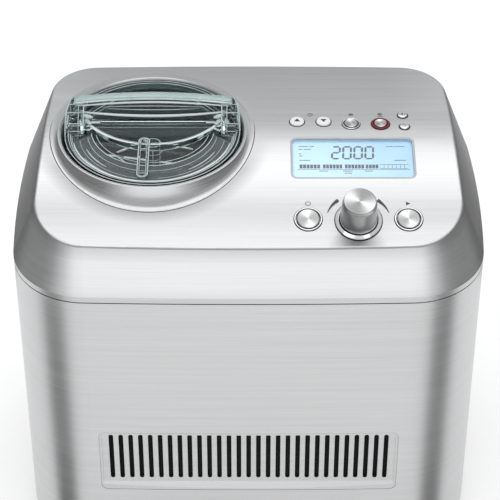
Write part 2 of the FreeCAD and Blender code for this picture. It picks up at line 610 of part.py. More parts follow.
def gear(z, m, x, y, z0, z1, phase, k_tip, k_root, r_tip, r_root):
    p = []
    for i in range(z):
        a = 2 * math.pi * i / z + phase
        pa = 2 * math.pi / z
        for (r, da) in ((r_root, -k_root * pa), (r_tip, -k_tip * pa), (r_tip, k_tip * pa), (r_root, k_root * pa)):
            p.append(V(x + r * math.cos(a + da), y + r * math.sin(a + da), z0))
    return Part.Face(Part.makePolygon(p + [p[0]])).extrude(V(0, 0, z1 - z0))


RG, RPN = GEAR_M * GEAR_Z / 2.0, GEAR_M * PIN_Z / 2.0
# the wheel has a tooth on the +X line, the pinion has a gap on its -X line
wheel = gear(GEAR_Z, GEAR_M, AX, AY, GEAR_Z0, GEAR_Z1, 0.0, 0.10, 0.27, RG + 0.8 * GEAR_M, RG - 1.25 * GEAR_M)
wheel = wheel.cut(ring(36.0, 15.0, AX, AY, GEAR_Z0 + 6.5, GEAR_Z1 + 1))
wheel = wheel.cut(cyl(5.0, AX, AY, 130, 160).cut(box(AX + 4.0, AX + 8, AY - 8, AY + 8, 120, 170)))
for k in range(5):
    a = math.radians(72 * k + 20)
    wheel = wheel.cut(cyl(6.5, AX + 26 * math.cos(a), AY + 26 * math.sin(a), 130, 160))
put("drive_gear", wheel)
pin = gear(PIN_Z, GEAR_M, MX, MY, GEAR_Z0 - 1.0, GEAR_Z1 + 1.0, math.pi / PIN_Z, 0.09, 0.24, RPN + 0.8 * GEAR_M, RPN - 1.2 * GEAR_M)
pin = pin.fuse(cyl(3.0, MX, MY, 122.0, 153.0))
put("motor_pinion", pin.removeSplitter())
mot = revolve([(0, 62.0), (24.0, 62.0), (27.5, 65.0), (27.5, 120.0), (24.0, 123.0), (24.0, 126.0), (12, 126.0), (12, 128.9), (0, 128.9)], MX, MY)
mot = mot.cut(cyl(3.06, MX, MY, 118.0, 140.0))
for k in range(8):
    a = math.radians(45 * k)
    mot = mot.cut(box(-2, 2, 23, 30, 72, 96).rotated(V(0, 0, 0), V(0, 0, 1), 45 * k).translated(V(MX, MY, 0)))
mot = mot.fuse(cyl(9.0, MX, MY, 56.0, 63.0))
put("drive_motor", mot.removeSplitter())

# ------------------------------------------------------------------ refrigeration set
CXc, CYc = 105.0, 36.0
body = revolve([(0, 36.0), (30, 36.0), (43, 40.0), (49, 50.0), (49, 96.0), (52.5, 96.0), (52.5, 101.0), (49, 101.0), (49, 140.0), (44, 152.0), (32, 160.0), (16, 163.5), (0, 164.5)], CXc, CYc)
plate = rrect(116.0, 92.0, 10.0, 29.0, 32.0)
plate.translate(V(CXc, CYc, 0))
comp = body.fuse(plate).fuse(ring(34.0, 26.0, CXc, CYc, 31.0, 42.0))
gx, gy = 47.5, 36.0
for sx in (-1, 1):
    for sy in (-1, 1):
        comp = comp.cut(cyl(4.6, CXc + sx * gx, CYc + sy * gy, 20, 40))
comp = comp.fuse(box(CXc - 14, CXc + 14, CYc - 62, CYc - 44, 60, 92))       # terminal cover
comp = comp.fuse(cyl(4.0, CXc - 30, CYc, 150, 176)).fuse(cyl_y(4.0, CXc + 20, 120, CYc - 62, CYc - 40))
put("compressor", comp.removeSplitter())
gr = []
for sx in (-1, 1):
    for sy in (-1, 1):
        x, y = CXc + sx * gx, CYc + sy * gy
        gr.append(revolve([(0, 11.0), (8.5, 11.0), (9.5, 28.9), (4.5, 29.0), (4.5, 32.1), (7.5, 32.1), (6.5, 38.0), (0, 38.0)], x, y))
put("compressor_grommets", Part.makeCompound(gr))

cx0, cx1 = FANX - 68, FANX + 68
cy0, cy1 = -114.0, -92.0
cz0, cz1 = 40.0, 160.0
cond = None
parts = []
for k in range(29):
    x = cx0 + 3 + k * (cx1 - cx0 - 6) / 28.0
    parts.append(box(x - 0.4, x + 0.4, cy0, cy1, cz0, cz1))
for x in (cx0, cx1 - 1.5):
    parts.append(box(x, x + 1.5, cy0 - 0.5, cy1 + 0.5, 11.0, cz1 + 1))
rows = [cz0 + 12 + 24 * i for i in range(5)]
for yy in (cy0 + 5.5, cy1 - 5.5):
    for z in rows:
        parts.append(cyl_x(3.2, yy, z, cx0 - 7, cx1 + 7))
for i in range(len(rows) - 1):
    xx = cx1 + 4 if i % 2 == 0 else cx0 - 4
    for yy in (cy0 + 5.5, cy1 - 5.5):
        parts.append(cyl(2.6, xx, yy, rows[i], rows[i + 1]))
parts.append(cyl_y(2.6, cx0 - 4, rows[0], cy0 + 5.5, cy1 - 5.5))
cond = parts[0].multiFuse(parts[1:])
put("condenser", cond)

FR = 50.0
sh = box(cx0, cx1, -91.4, -89.4, 40.0, 160.0).fuse(cyl_y(FR + 3.5, FANX, FANZ, -90.0, -68.0))
sh = sh.cut(cyl_y(FR + 1.5, FANX, FANZ, -95, -60))
spk = cyl_y(20.0, FANX, FANZ, -67.9, -64.5).cut(cyl_y(5.0, FANX, FANZ, -70, -60))
for k in range(3):
    b = box(-3, 3, 15, FR + 3.4, -2, 2)
    b.rotate(V(0, 0, 0), V(1, 0, 0), 90)
    b.rotate(V(0, 0, 0), V(0, 1, 0), 30 + 120 * k)
    b.translate(V(FANX, -66.0, FANZ))
    spk = spk.fuse(b)
sh = sh.fuse(spk.common(box(-100, 200, -68.2, -64.0, -50, 300))).fuse(box(FANX - 40, FANX + 40, -80, -70, 11.0, FANZ - FR + 1).cut(cyl_y(FR + 1.5, FANX, FANZ, -95, -60)))
put("fan_shroud", sh.removeSplitter())
fm = cyl_y(19.0, FANX, FANZ, -63.9, -40.0)
fm = fm.cut(cyl_y(2.06, FANX, FANZ, -66, -50)).fuse(cyl_y(7.0, FANX, FANZ, -40.5, -36.0))
put("fan_motor", fm)
fan = cyl_y(15.0, FANX, FANZ, -86.0, -72.0).fuse(cyl_y(2.0, FANX, FANZ, -73.0, -52.0))
for k in range(5):
    # pitched blade: a sheared slab between hub and tip
    y0, y1 = -85.5, -73.0
    pts0 = [V(-12, 0, 13.5), V(12, 0, 13.5)]
    a0, a1 = math.radians(-14), math.radians(14)
    def P(r, a, y):
        return V(r * math.sin(a), y, r * math.cos(a))
    f0 = Part.makePolygon([P(13.5, -0.42, y0), P(13.5, 0.42, y1), P(13.5, 0.42, y1 + 1.4), P(13.5, -0.42, y0 + 1.4), P(13.5, -0.42, y0)])
    f1 = Part.makePolygon([P(47.5, -0.34, y0), P(47.5, 0.34, y1 - 1), P(47.5, 0.34, y1 + 0.4), P(47.5, -0.34, y0 + 1.4), P(47.5, -0.34, y0)])
    b = Part.makeLoft([f0, f1], True, True)
    b.rotate(V(0, 0, 0), V(0, 1, 0), 72 * k)
    b.translate(V(FANX, 0, FANZ))
    fan = fan.fuse(b)
put("fan_rotor", fan.removeSplitter())


# ------------------------------------------------------------------ pipes
def pipe(pts, r):
    """Round tube along straight runs joined by tangent arcs."""
    P = [V(*p) for p in pts]
    n = len(P)
    e = []
    cur = P[0]
    for i in range(1, n - 1):
        a, b, c = P[i - 1], P[i], P[i + 1]
        u, w = (a - b), (c - b)
        lu, lw = u.Length, w.Length
        u.normalize(); w.normalize()
        ang = math.acos(max(-1, min(1, u.dot(w))))
        t = 0.45 * min(lu, lw)
        rad = t * math.tan(ang / 2.0)
        p1, p2 = b + u * t, b + w * t
        bis = (u + w)
        bis.normalize()
        d = rad / math.sin(ang / 2.0)
        m = b + bis * (d - rad)
        e.append(Part.LineSegment(cur, p1).toShape())
        e.append(Part.Arc(p1, m, p2).toShape())
        cur = p2
    e.append(Part.LineSegment(cur, P[-1]).toShape())
    w = Part.Wire(e)
    d0 = P[1] - P[0]
    prof = Part.Wire([Part.Circle(P[0], d0, r).toShape()])
    s = w.makePipeShell([prof], True, False)
    return s


# suction: coil stub to the top fitting of the compressor
put("suction_line", pipe([(AX + 112.3, AY, stub_z), (AX + 138, AY, stub_z), (AX + 150, AY + 18, stub_z + 4), (CXc - 30, CYc, stub_z + 4), (CXc - 30, CYc, 176.3)], 3.0))
# discharge: compressor side fitting to the condenser's top row
put("discharge_line", pipe([(CXc + 20, CYc - 62.3, 120), (CXc + 20, -60, 120), (CXc + 20, -76, 132), (CXc + 20, -86.5, rows[-1]), (CXc + 2, cy1 - 5.5, rows[-1]),
                            (cx1 + 7.3, cy1 - 5.5, rows[-1])], 3.0))
fd = revolve([(0, 60), (3.0, 60), (3.0, 68), (8.5, 74), (8.5, 128), (3.0, 134), (3.0, 142), (0, 142)], -62.0, -95.0)
put("filter_drier", fd)

# ------------------------------------------------------------------ power board
pb = box(-150, -62, 48, 108, 24.0, 25.6)
for (x, y) in ((-145, 53), (-67, 53), (-145, 103), (-67, 103)):
    pb = pb.fuse(cyl(3.0, x, y, 11.0, 24.5))
pb = pb.fuse(box(-140, -108, 60, 90, 25.0, 52)).fuse(cyl(9, -92, 66, 25, 55)).fuse(cyl(9, -92, 90, 25, 50)).fuse(box(-80, -68, 58, 84, 25, 44)).fuse(box(-146, -70, 98, 101, 25, 60))
put("power_board", pb.removeSplitter())

# ------------------------------------------------------------------ mixing paddle
pd = revolve([(12.7, 190.6), (16.5, 190.6), (16.5, 236.0), (12.0, 243.0), (7.0, 247.0), (6.4, 300.0), (6.4, 333.5), (5.2, 335.0), (0, 335.0), (0, 240.0), (7.5, 240.0), (7.5, 225.0), (12.7, 225.0)], AX, AY)
sock = fuse(ring(14.0, 5.5, AX, AY, 224.6, 240.5))
pd = pd.fuse(sock).cut(hexagon(11.8, 222.0, 239.5, AX, AY))
PR = 60.8
yaw = -12.0
arms = None
for k in (0, 1):
    pieces = [box(3.0, PR, -2.2, 2.2, 318.0, 328.0),
              box(14.5, PR, -2.2, 2.2, 190.6, 197.5)]
    bl = [V(PR - 11, -2.2, 192.0), V(PR, -2.2, 192.0), V(PR, 2.2, 192.0), V(PR - 11, 5.2, 192.0)]
    pieces.append(Part.Face(Part.makePolygon(bl + [bl[0]])).extrude(V(0, 0, 134)))
    rb = [V(6, -1.6, 300), V(34, -1.6, 320), V(28, -1.6, 320), V(6, -1.6, 306)]
    pieces.append(Part.Face(Part.makePolygon(rb + [rb[0]])).extrude(V(0, 3.2, 0)))
    a = pieces[0].multiFuse(pieces[1:])
    a.rotate(V(0, 0, 0), V(0, 0, 1), yaw + 180 * k)
    arms = a if arms is None else arms.fuse(a)
arms.translate(V(AX, AY, 0))
clip = revolve([(0, 190.6), (PR - 7.5, 190.6), (PR, 198.0), (PR, 340), (0, 340)], AX, AY)
put("mixing_paddle", pd.fuse(arms.common(clip)).removeSplitter())

# ------------------------------------------------------------------ lid: ring, rear deck, carrying bar, cheeks
ringp = [(69.0, Z_LID0), (70.2, Z_LID0), (70.2, 344.4), (R_LID, 345.6), (R_LID, Z_LID1 - 0.6), (R_LID - 0.6, Z_LID1), (67.9, Z_LID1), (67.3, Z_LID1 - 0.6), (67.3, 342.6), (61.0, 342.0 - 0.9), (61.0, 338.4), (69.0, 338.4)]
lid = revolve(ringp, AX, AY)
# rear deck: behind the bar and, as a dished tongue, in front of it
deck = cyl(68.0, 0, 0, 339.6, Z_DECK)
sm = cyl(55.0, 0, 43.5, 330, 360).fuse(box(-80, 80, 19.5, 80, 330, 360))
tongue = deck.common(sm)
edge = cyl(55.0, 0, 43.5, 339.6, 343.4).cut(cyl(53.0, 0, 43.5, 330, 350)).common(cyl(62.0, 0, 0, 330, 350)).common(box(-80, 80, -40, 19.0, 330, 350))
# the tongue lies below the hatch, so its front part is lowered
tl = tongue.common(box(-80, 80, -80, 17.6, 330, 360))
tl.translate(V(0, 0, -3.2))
te = edge.copy(); te.translate(V(0, 0, -3.9))
step = cyl(61.5, 0, 0, 336.4, Z_DECK).common(box(-80, 80, 17.6, 19.6, 330, 360))
rear = tongue.common(box(-80, 80, 17.6, 80, 330, 360))
dk = rear.fuse(tl).fuse(te).fuse(step)
# bar: crowned wall with a thicker top, open underneath
HB = 67.0
crown_r = (HB * HB + 5.2 ** 2) / (2 * 5.2)
zc = Z_CROWN - crown_r
def bar_profile(y0, y1, dz, x_half, zbot):
    a = math.asin(x_half / crown_r)
    r = crown_r - dz
    zl = zc + math.sqrt(r * r - x_half ** 2)
    w = Part.Wire([Part.Arc(V(-x_half, y0, zl), V(0, y0, zc + r), V(x_half, y0, zl)).toShape(),
                   Part.LineSegment(V(x_half, y0, zl), V(x_half, y0, zbot)).toShape(),
                   Part.LineSegment(V(x_half, y0, zbot), V(-x_half, y0, zbot)).toShape(),
                   Part.LineSegment(V(-x_half, y0, zbot), V(-x_half, y0, zl)).toShape()])
    return Part.Face(w).extrude(V(0, y1 - y0, 0))
bar = bar_profile(18.6, 27.0, 0.0, 66.8, 341.0).cut(bar_profile(21.4, 24.6, 3.0, 63.0, 330.0))
bar = bar.common(cyl(R_LID, 0, 0, 300, 400))
# cheeks: raised part of the ring beside the bar
ck = []
for sx in (-1, 1):
    prof = [V(sx * 56, 1.5, 341.5), V(sx * 56, 1.5, 347.0), V(sx * 56, 5.0, 352.0), V(sx * 56, 12.0, 358.0), V(sx * 56, 18.6, 361.6), V(sx * 56, 27.0, 362.4),
            V(sx * 56, 29.5, 361.0), V(sx * 56, 31.0, 357.0), V(sx * 56, 31.5, 341.5)]
    c = Part.Face(Part.makePolygon(prof + [prof[0]])).extrude(V(sx * 20, 0, 0))
    c = c.common(cyl(R_LID, 0, 0, 300, 400))
    hol = box(min(sx * 58.5, sx * 80), max(sx * 58.5, sx * 80), 4.0, 17.0, 330, 358.5).common(cyl(68.9, 0, 0, 300, 400))
    hol = hol.common(Part.Face(Part.makePolygon([V(-100, 3.5, 330), V(-100, 3.5, 346.0), V(-100, 12.0, 355.2), V(-100, 18.6, 358.6), V(-100, 18.6, 330), V(-100, 3.5, 330)])).extrude(V(200, 0, 0)))
    ck.append(c.cut(hol))
body = fuse(dk, bar, *ck)
body = body.common(cyl(R_LID, 0, 0, 300, 400))
body.translate(V(AX, AY, 0))
lid = lid.fuse(body)
# hinge ears for the hatch pins
PINZ, PINY, PINR = 346.2, 14.6, 1.2
ears = []
for sx in (-1, 1):
    e = box(min(sx * 51.5, sx * 54.5), max(sx * 51.5, sx * 54.5), PINY - 2.6, 19.2, 339.0, 349.0)
    ears.append(e)
    ears.append(box(min(sx * 54.0, sx * 57.0), max(sx * 54.0, sx * 57.0), 17.0, 19.5, 339.0, 349.0))
ear = ears[0].multiFuse(ears[1:])
ear = ear.cut(cyl_x(PINR, PINY, PINZ, -70, 70))
ear.translate(V(AX, AY, 0))
# keep the path of the hatch clear of the floor under it
lid = lid.fuse(ear).removeSplitter()
put("lid_frame", lid)

# hatch: front leaf with a raised edge, a pull rib and a hinge barrel
hz0, hz1 = 342.9, 345.0
leaf = cyl(66.6, 0, 0, hz0, hz1).common(box(-80, 80, -80, PINY - 4.0, 330, 360))
side = box(-54.6, 54.6, -80, 80, 330, 360)
leaf_rear = leaf.common(box(-80, 80, 0.5, 40, 330, 360)).common(box(-53.8, 53.8, -80, 80, 330, 360))
leaf = leaf.common(box(-80, 80, -80, 0.5, 330, 360)).fuse(leaf_rear)
rim = cyl(66.6, 0, 0, hz0, 346.8).cut(cyl(64.8, 0, 0, 330, 360)).common(box(-80, 80, -80, 0.5, 330, 360))
rim2 = cyl(53.0, 0, 0, hz0, 346.0).cut(cyl(51.6, 0, 0, 330, 360)).common(box(-80, 80, -80, 0.5, 330, 360))
rib = rrect(8.6, 52.0, 4.0, hz0, 349.4)
rib.translate(V(-6.0, -36.0, 0))
rib = rib.cut(rrect(5.6, 49.0, 2.6, hz1, 352).translated(V(-6.0, -36.0, 0)))
rib = rib.common(cyl(66.6, 0, 0, 300, 400))
bar_h = cyl_x(2.4, PINY, PINZ, -50.8, 50.8).fuse(box(-50.8, 50.8, PINY - 5.0, PINY, hz0, hz1 + 0.6).common(box(-60, 60, PINY - 5.0, PINY, 340, 360)))
bar_h = bar_h.cut(cyl_x(PINR + 0.05, PINY, PINZ, -50.9, -42)).cut(cyl_x(PINR + 0.05, PINY, PINZ, 42, 50.9))
hatch = fuse(leaf, rim, rim2, rib, bar_h)
hatch.translate(V(AX, AY, 0))
put("lid_hatch", hatch)
pins = [cyl_x(PINR, PINY, PINZ, -54.5, -43.0), cyl_x(PINR, PINY, PINZ, 43.0, 54.5)]
pins = Part.makeCompound(pins)
pins.translate(V(AX, AY, 0))
put("hatch_pins", pins)
put("lid_seal", revolve([(64.8, Z_BOWL1 + 0.25), (68.8, Z_BOWL1 + 0.25), (68.8, 338.3), (67.2, 338.3), (66.6, 334.0), (64.8, 332.0)], AX, AY))

# ------------------------------------------------------------------ write every piece
total = 0
bb_all = None
for name, shape in OUT.items():
    if not shape.isValid():
        print("INVALID", name)
    ns = len(shape.Solids)
    total += ns
    shape.exportStep("parts/%s.step" % name)
    bb = shape.BoundBox
    bb_all = bb if bb_all is None else bb_all.united(bb)
    print("%-22s solids %3d vol %10.0f  X %7.1f %7.1f Y %7.1f %7.1f Z %6.1f %6.1f" % (name, ns, shape.Volume, bb.XMin, bb.XMax, bb.YMin, bb.YMax, bb.ZMin, bb.ZMax))
print("nodes", len(OUT), "solids", total, "box", bb_all)
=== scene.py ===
import json
import math

import bpy
from mathutils import Matrix, Vector


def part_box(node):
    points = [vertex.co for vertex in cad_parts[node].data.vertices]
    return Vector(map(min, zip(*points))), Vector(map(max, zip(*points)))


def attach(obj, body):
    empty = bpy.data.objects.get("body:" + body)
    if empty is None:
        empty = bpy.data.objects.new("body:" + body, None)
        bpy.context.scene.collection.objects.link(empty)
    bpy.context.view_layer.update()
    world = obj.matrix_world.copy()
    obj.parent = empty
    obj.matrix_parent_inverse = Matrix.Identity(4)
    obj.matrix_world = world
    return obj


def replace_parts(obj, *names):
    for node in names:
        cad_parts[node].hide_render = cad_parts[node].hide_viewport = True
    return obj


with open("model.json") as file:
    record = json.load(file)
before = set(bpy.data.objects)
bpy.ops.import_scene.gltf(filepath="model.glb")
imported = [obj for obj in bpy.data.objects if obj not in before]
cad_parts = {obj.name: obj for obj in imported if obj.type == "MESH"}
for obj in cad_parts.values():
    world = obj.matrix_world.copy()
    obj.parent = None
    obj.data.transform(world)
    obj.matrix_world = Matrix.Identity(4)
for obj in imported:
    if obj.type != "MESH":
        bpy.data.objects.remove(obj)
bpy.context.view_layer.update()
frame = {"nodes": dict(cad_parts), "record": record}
NODES = frame["nodes"]
MM = 0.001


# ---------------------------------------------------------------- places: bowl axis, rim and panel heights from the frame, the rest given as numbers
def lo_hi(node):
    a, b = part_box(node)
    return [v / MM for v in a], [v / MM for v in b]


_c0, _c1 = lo_hi("freezer_bowl")
AX, AY = (_c0[0] + _c1[0]) / 2, (_c0[1] + _c1[1]) / 2          # bowl axis
_k0, _k1 = lo_hi("bowl_collar")
Z_RIM = _k1[2]
_t0, _t1 = lo_hi("top_cover")
Z_PANEL = _t1[2]                                               # flat part of the panel
Y_BEND, R_PANEL = 25.0, 394.3
R_RIM, R_IN = 76.8, 73.0


def surf_z(y):
    if y > Y_BEND:
        return Z_PANEL
    return Z_PANEL - (R_PANEL - math.sqrt(R_PANEL ** 2 - (y - Y_BEND) ** 2))


def slope(y):
    return 0.0 if y > Y_BEND else math.asin((Y_BEND - y) / R_PANEL)


def panel_frame(x, y):
    return Matrix.Translation((x, y, surf_z(y))) @ Matrix.Rotation(slope(y), 4, "X")


def ctrl(node):
    a, b = lo_hi(node)
    return (a[0] + b[0]) / 2


UP, DOWN = (39.4, 21.0), (60.9, 21.0)
PRE, KEEP = (83.2, 18.3), (107.1, 18.3)
VOL, UNITS = (125.6, 29.9), (126.4, 14.6)
POWER, KNOB, START = (46.4, -85.8), (85.5, -87.0), (124.6, -85.8)
DISP = (83.2, -23.0)

coll = bpy.context.scene.collection


# ---------------------------------------------------------------- node helpers
class Mat:
    def __init__(self, name):
        self.m = bpy.data.materials.new(name)
        self.m.use_nodes = True
        self.t = self.m.node_tree
        self.t.nodes.clear()
        self.out = self.t.nodes.new("ShaderNodeOutputMaterial")
        self.b = self.t.nodes.new("ShaderNodeBsdfPrincipled")
        self.t.links.new(self.b.outputs[0], self.out.inputs["Surface"])

    def node(self, kind, op=None, **ins):
        n = self.t.nodes.new(kind)
        if op is not None:
            n.operation = op
        for k, v in ins.items():
            key = int(k[1:]) if k[0] == "_" and k[1:].isdigit() else k.replace("_", " ")
            self.put(n.inputs[key], v)
        return n

    def put(self, sock, v):
        if isinstance(v, bpy.types.NodeSocket):
            self.t.links.new(v, sock)
        else:
            sock.default_value = v

    def set(self, **ins):
        for k, v in ins.items():
            key = k.replace("_", " ")
            if isinstance(v, tuple) and len(v) == 3 and self.b.inputs[key].type == "RGBA":
                v = (v[0], v[1], v[2], 1.0)
            self.put(self.b.inputs[key], v)
        return self

    def coords(self):
        return self.t.nodes.new("ShaderNodeTexCoord").outputs["Object"]

    def scaled(self, vec, s):
        return self.node("ShaderNodeVectorMath", "MULTIPLY", _0=vec, _1=s).outputs[0]

    def noise(self, vec, scale=1.0, detail=3.0, rough=0.5):
        n = self.t.nodes.new("ShaderNodeTexNoise")
        self.put(n.inputs["Vector"], vec)
        n.inputs["Scale"].default_value = scale
        n.inputs["Detail"].default_value = detail
        n.inputs["Roughness"].default_value = rough
        return n.outputs["Fac"]

    def remap(self, val, a, b, c, d):
        n = self.t.nodes.new("ShaderNodeMapRange")
        self.put(n.inputs["Value"], val)
        for k, v in zip(("From Min", "From Max", "To Min", "To Max"), (a, b, c, d)):
            n.inputs[k].default_value = v
        return n.outputs["Result"]

    def ramp(self, val, stops):
        n = self.t.nodes.new("ShaderNodeValToRGB")
        self.put(n.inputs["Fac"], val)
        e = n.color_ramp.elements
        while len(e) < len(stops):
            e.new(0.5)
        for k, (p, c) in enumerate(stops):
            e[k].position = p
            e[k].color = (c[0], c[1], c[2], 1.0)
        return n.outputs["Color"]

    def bump(self, height, dist, strength=1.0, normal=None):
        n = self.t.nodes.new("ShaderNodeBump")
        n.inputs["Strength"].default_value = strength
        n.inputs["Distance"].default_value = dist
        self.put(n.inputs["Height"], height)
        if normal is not None:
            self.put(n.inputs["Normal"], normal)
        return n.outputs["Normal"]

    def math(self, op, a, b=0.0, c=0.0):
        n = self.t.nodes.new("ShaderNodeMath")
        n.operation = op
        for k, v in enumerate((a, b, c)):
            self.put(n.inputs[k], v)
        return n.outputs[0]


def brushed(name, lo, hi, rough=(0.26, 0.36), aniso=0.55, fine=1500.0, coarse=330.0, bump=0.000012, tone=None):
    """Steel brushed left to right: the grain runs round the walls, and across the top."""
    m = Mat(name)
    co = m.coords()
    geo = m.t.nodes.new("ShaderNodeNewGeometry")
    nz = m.node("ShaderNodeSeparateXYZ", _0=geo.outputs["Normal"]).outputs[2]
    up = m.remap(nz, 0.62, 0.78, 0.0, 1.0)

    def stretched(across, along):
        mix = m.t.nodes.new("ShaderNodeMix")
        mix.data_type = "VECTOR"
        m.put(mix.inputs["Factor"], up)
        mix.inputs[4].default_value = (along, along, across)
        mix.inputs[5].default_value = (along, across, along)
        return m.node("ShaderNodeVectorMath", "MULTIPLY", _0=co, _1=mix.outputs[1]).outputs[0]

    a = m.noise(stretched(fine, 9.0), 1.0, 2.0, 0.6)
    b = m.noise(stretched(coarse, 3.0), 1.0, 4.0, 0.65)
    c = m.noise(m.scaled(co, (5.0, 5.0, 5.0)), 1.0, 2.0)
    grain = m.math("MULTIPLY_ADD", a, 0.55, m.math("MULTIPLY", b, 0.45))
    base = m.ramp(grain, [(0.3, lo), (0.7, hi)])
    # tone is a factor of painted shade and light multiplied into the base colour
    if tone is not None:
        sc = m.t.nodes.new("ShaderNodeVectorMath")
        sc.operation = "SCALE"
        m.put(sc.inputs[0], base)
        m.put(sc.inputs["Scale"], tone(m, co, up))
        base = sc.outputs[0]
    m.set(Base_Color=base, Metallic=1.0,
          Roughness=m.math("ADD", m.remap(grain, 0.25, 0.75, rough[0], rough[1]), m.remap(c, 0.2, 0.8, -0.02, 0.02)),
          Anisotropic=aniso)
    # tangent along the grain
    cr = m.node("ShaderNodeVectorMath", "CROSS_PRODUCT", _0=(0.0, 0.0, 1.0), _1=geo.outputs["Normal"]).outputs[0]
    tm = m.t.nodes.new("ShaderNodeMix")
    tm.data_type = "VECTOR"
    m.put(tm.inputs["Factor"], up)
    m.put(tm.inputs[4], cr)
    tm.inputs[5].default_value = (1.0, 0.0, 0.0)
    m.put(m.b.inputs["Tangent"], tm.outputs[1])
    m.put(m.b.inputs["Normal"], m.bump(grain, bump, 1.0))
    return m.m


def cover_painted_shade(m, co, up):
    """Slow painted shade and light over the cover, as a factor on its colour: painted shade at the back and towards the
    front, painted light towards the sides, a painted dark reflection round the collar's foot and in front of the dial,
    and painted shade along the crease and at the foot of the walls.
    """
    s = m.node("ShaderNodeSeparateXYZ", _0=co).outputs
    # painted light: lighter towards the sides, at the back
    side = m.remap(m.math("ABSOLUTE", s[0]), 0.115, 0.172, 0.0, 0.15)
    # painted shade: darker towards the back, and a little darker towards the front
    back = m.math("MINIMUM", m.math("ADD", m.remap(s[1], 0.0, 0.126, 1.0, 0.74), side), m.remap(s[1], -0.080, -0.020, 0.89, 1.0))
    yy = m.math("MINIMUM", m.math("SUBTRACT", s[1], Y_BEND * MM), 0.0)
    fall = m.math("SUBTRACT", R_PANEL * MM, m.math("SQRT", m.math("SUBTRACT", (R_PANEL * MM) ** 2, m.math("MULTIPLY", yy, yy))))
    below = m.math("SUBTRACT", m.math("SUBTRACT", Z_PANEL * MM, fall), s[2])
    # painted shade on the walls: darker just below the crease and near their foot
    wall = m.math("MULTIPLY", m.remap(below, 0.0, 0.011, 0.74, 1.0), m.remap(s[2], 0.2860, 0.2945, 0.90, 1.0))
    # painted dark reflection of the collar round its foot, at the front only
    dx, dy = m.math("SUBTRACT", s[0], AX * MM), m.math("SUBTRACT", s[1], AY * MM)
    d = m.math("SQRT", m.math("ADD", m.math("MULTIPLY", dx, dx), m.math("MULTIPLY", dy, dy)))
    near = m.remap(d, 0.0872, 0.0990, 0.34, 0.0)
    foot = m.math("SUBTRACT", 1.0, m.math("MULTIPLY", near, m.remap(dy, -0.045, -0.005, 1.0, 0.0)))
    # painted dark reflection of the dial on the panel in front of it
    kx = m.math("MULTIPLY", m.math("SUBTRACT", s[0], 0.0845), 1 / 0.018)
    ky = m.math("MULTIPLY", m.math("SUBTRACT", s[1], -0.1120), 1 / 0.015)
    knob_painted_reflection = m.remap(m.math("ADD", m.math("MULTIPLY", kx, kx), m.math("MULTIPLY", ky, ky)), 0.0, 1.7, 0.62, 1.0)
    top = m.math("MULTIPLY", back, m.math("MULTIPLY", foot, knob_painted_reflection))
    return m.math("ADD", m.math("MULTIPLY", top, up), m.math("MULTIPLY", wall, m.math("SUBTRACT", 1.0, up)))


def turned(name, lo, hi, centre, rough=(0.2, 0.34), aniso=0.75, freq=2600.0, tilt=0.0, bump=0.000010):
    """Metal turned on a lathe: grain in circles about an axis."""
    m = Mat(name)
    co = m.coords()
    rel = m.node("ShaderNodeVectorMath", "SUBTRACT", _0=co, _1=(centre[0] * MM, centre[1] * MM, centre[2] * MM)).outputs[0]
    if tilt:
        r = m.t.nodes.new("ShaderNodeVectorRotate")
        r.rotation_type = "X_AXIS"
        m.put(r.inputs["Vector"], rel)
        r.inputs["Angle"].default_value = -tilt
        rel = r.outputs[0]
    sep = m.node("ShaderNodeSeparateXYZ", _0=rel).outputs
    rad = m.math("SQRT", m.math("ADD", m.math("MULTIPLY", sep[0], sep[0]), m.math("MULTIPLY", sep[1], sep[1])))
    ang = m.math("ARCTAN2", sep[1], sep[0])
    v = m.node("ShaderNodeCombineXYZ", _0=m.math("MULTIPLY", rad, freq), _1=m.math("MULTIPLY", ang, 1.2), _2=m.math("MULTIPLY", sep[2], freq)).outputs[0]
    g = m.noise(v, 1.0, 3.0, 0.6)
    m.set(Base_Color=m.ramp(g, [(0.3, lo), (0.7, hi)]), Metallic=1.0, Roughness=m.remap(g, 0.25, 0.75, rough[0], rough[1]), Anisotropic=aniso)
    tx = m.node("ShaderNodeCombineXYZ", _0=m.math("MULTIPLY", sep[1], -1.0), _1=sep[0], _2=0.0).outputs[0]
    m.put(m.b.inputs["Tangent"], m.node("ShaderNodeVectorMath", "NORMALIZE", _0=tx).outputs[0])
    m.put(m.b.inputs["Normal"], m.bump(g, bump, 1.0))
    return m.m


def plastic(name, lo, hi, rough=(0.35, 0.5), scale=900.0, bump=0.00002, spec=0.5, coat=0.0, **more):
    m = Mat(name)
    co = m.coords()
    f = m.noise(co, scale, 4.0, 0.6)
    g = m.noise(co, 35.0, 3.0, 0.55)
    h = m.math("MULTIPLY_ADD", f, 0.5, m.math("MULTIPLY", g, 0.5))
    m.set(Base_Color=m.ramp(h, [(0.3, lo), (0.7, hi)]), Roughness=m.remap(g, 0.3, 0.7, rough[0], rough[1]))
    m.b.inputs["Specular IOR Level"].default_value = spec
    m.b.inputs["Coat Weight"].default_value = coat
    m.b.inputs["Coat Roughness"].default_value = 0.08
    for k, v in more.items():
        m.b.inputs[k.replace("_", " ")].default_value = v
    m.put(m.b.inputs["Normal"], m.bump(f, bump, 1.0))
    return m.m


def metal(name, lo, hi, rough=(0.25, 0.45), scale=220.0, bump=0.00002, aniso=0.0):
    m = Mat(name)
    co = m.coords()
    f = m.noise(co, scale, 4.0, 0.6)
    g = m.noise(co, 22.0, 3.0, 0.6)
    m.set(Base_Color=m.ramp(m.math("MULTIPLY_ADD", f, 0.4, m.math("MULTIPLY", g, 0.6)), [(0.3, lo), (0.7, hi)]), Metallic=1.0,
          Roughness=m.remap(g, 0.25, 0.75, rough[0], rough[1]), Anisotropic=aniso)
    m.put(m.b.inputs["Normal"], m.bump(f, bump, 1.0))
    return m.m


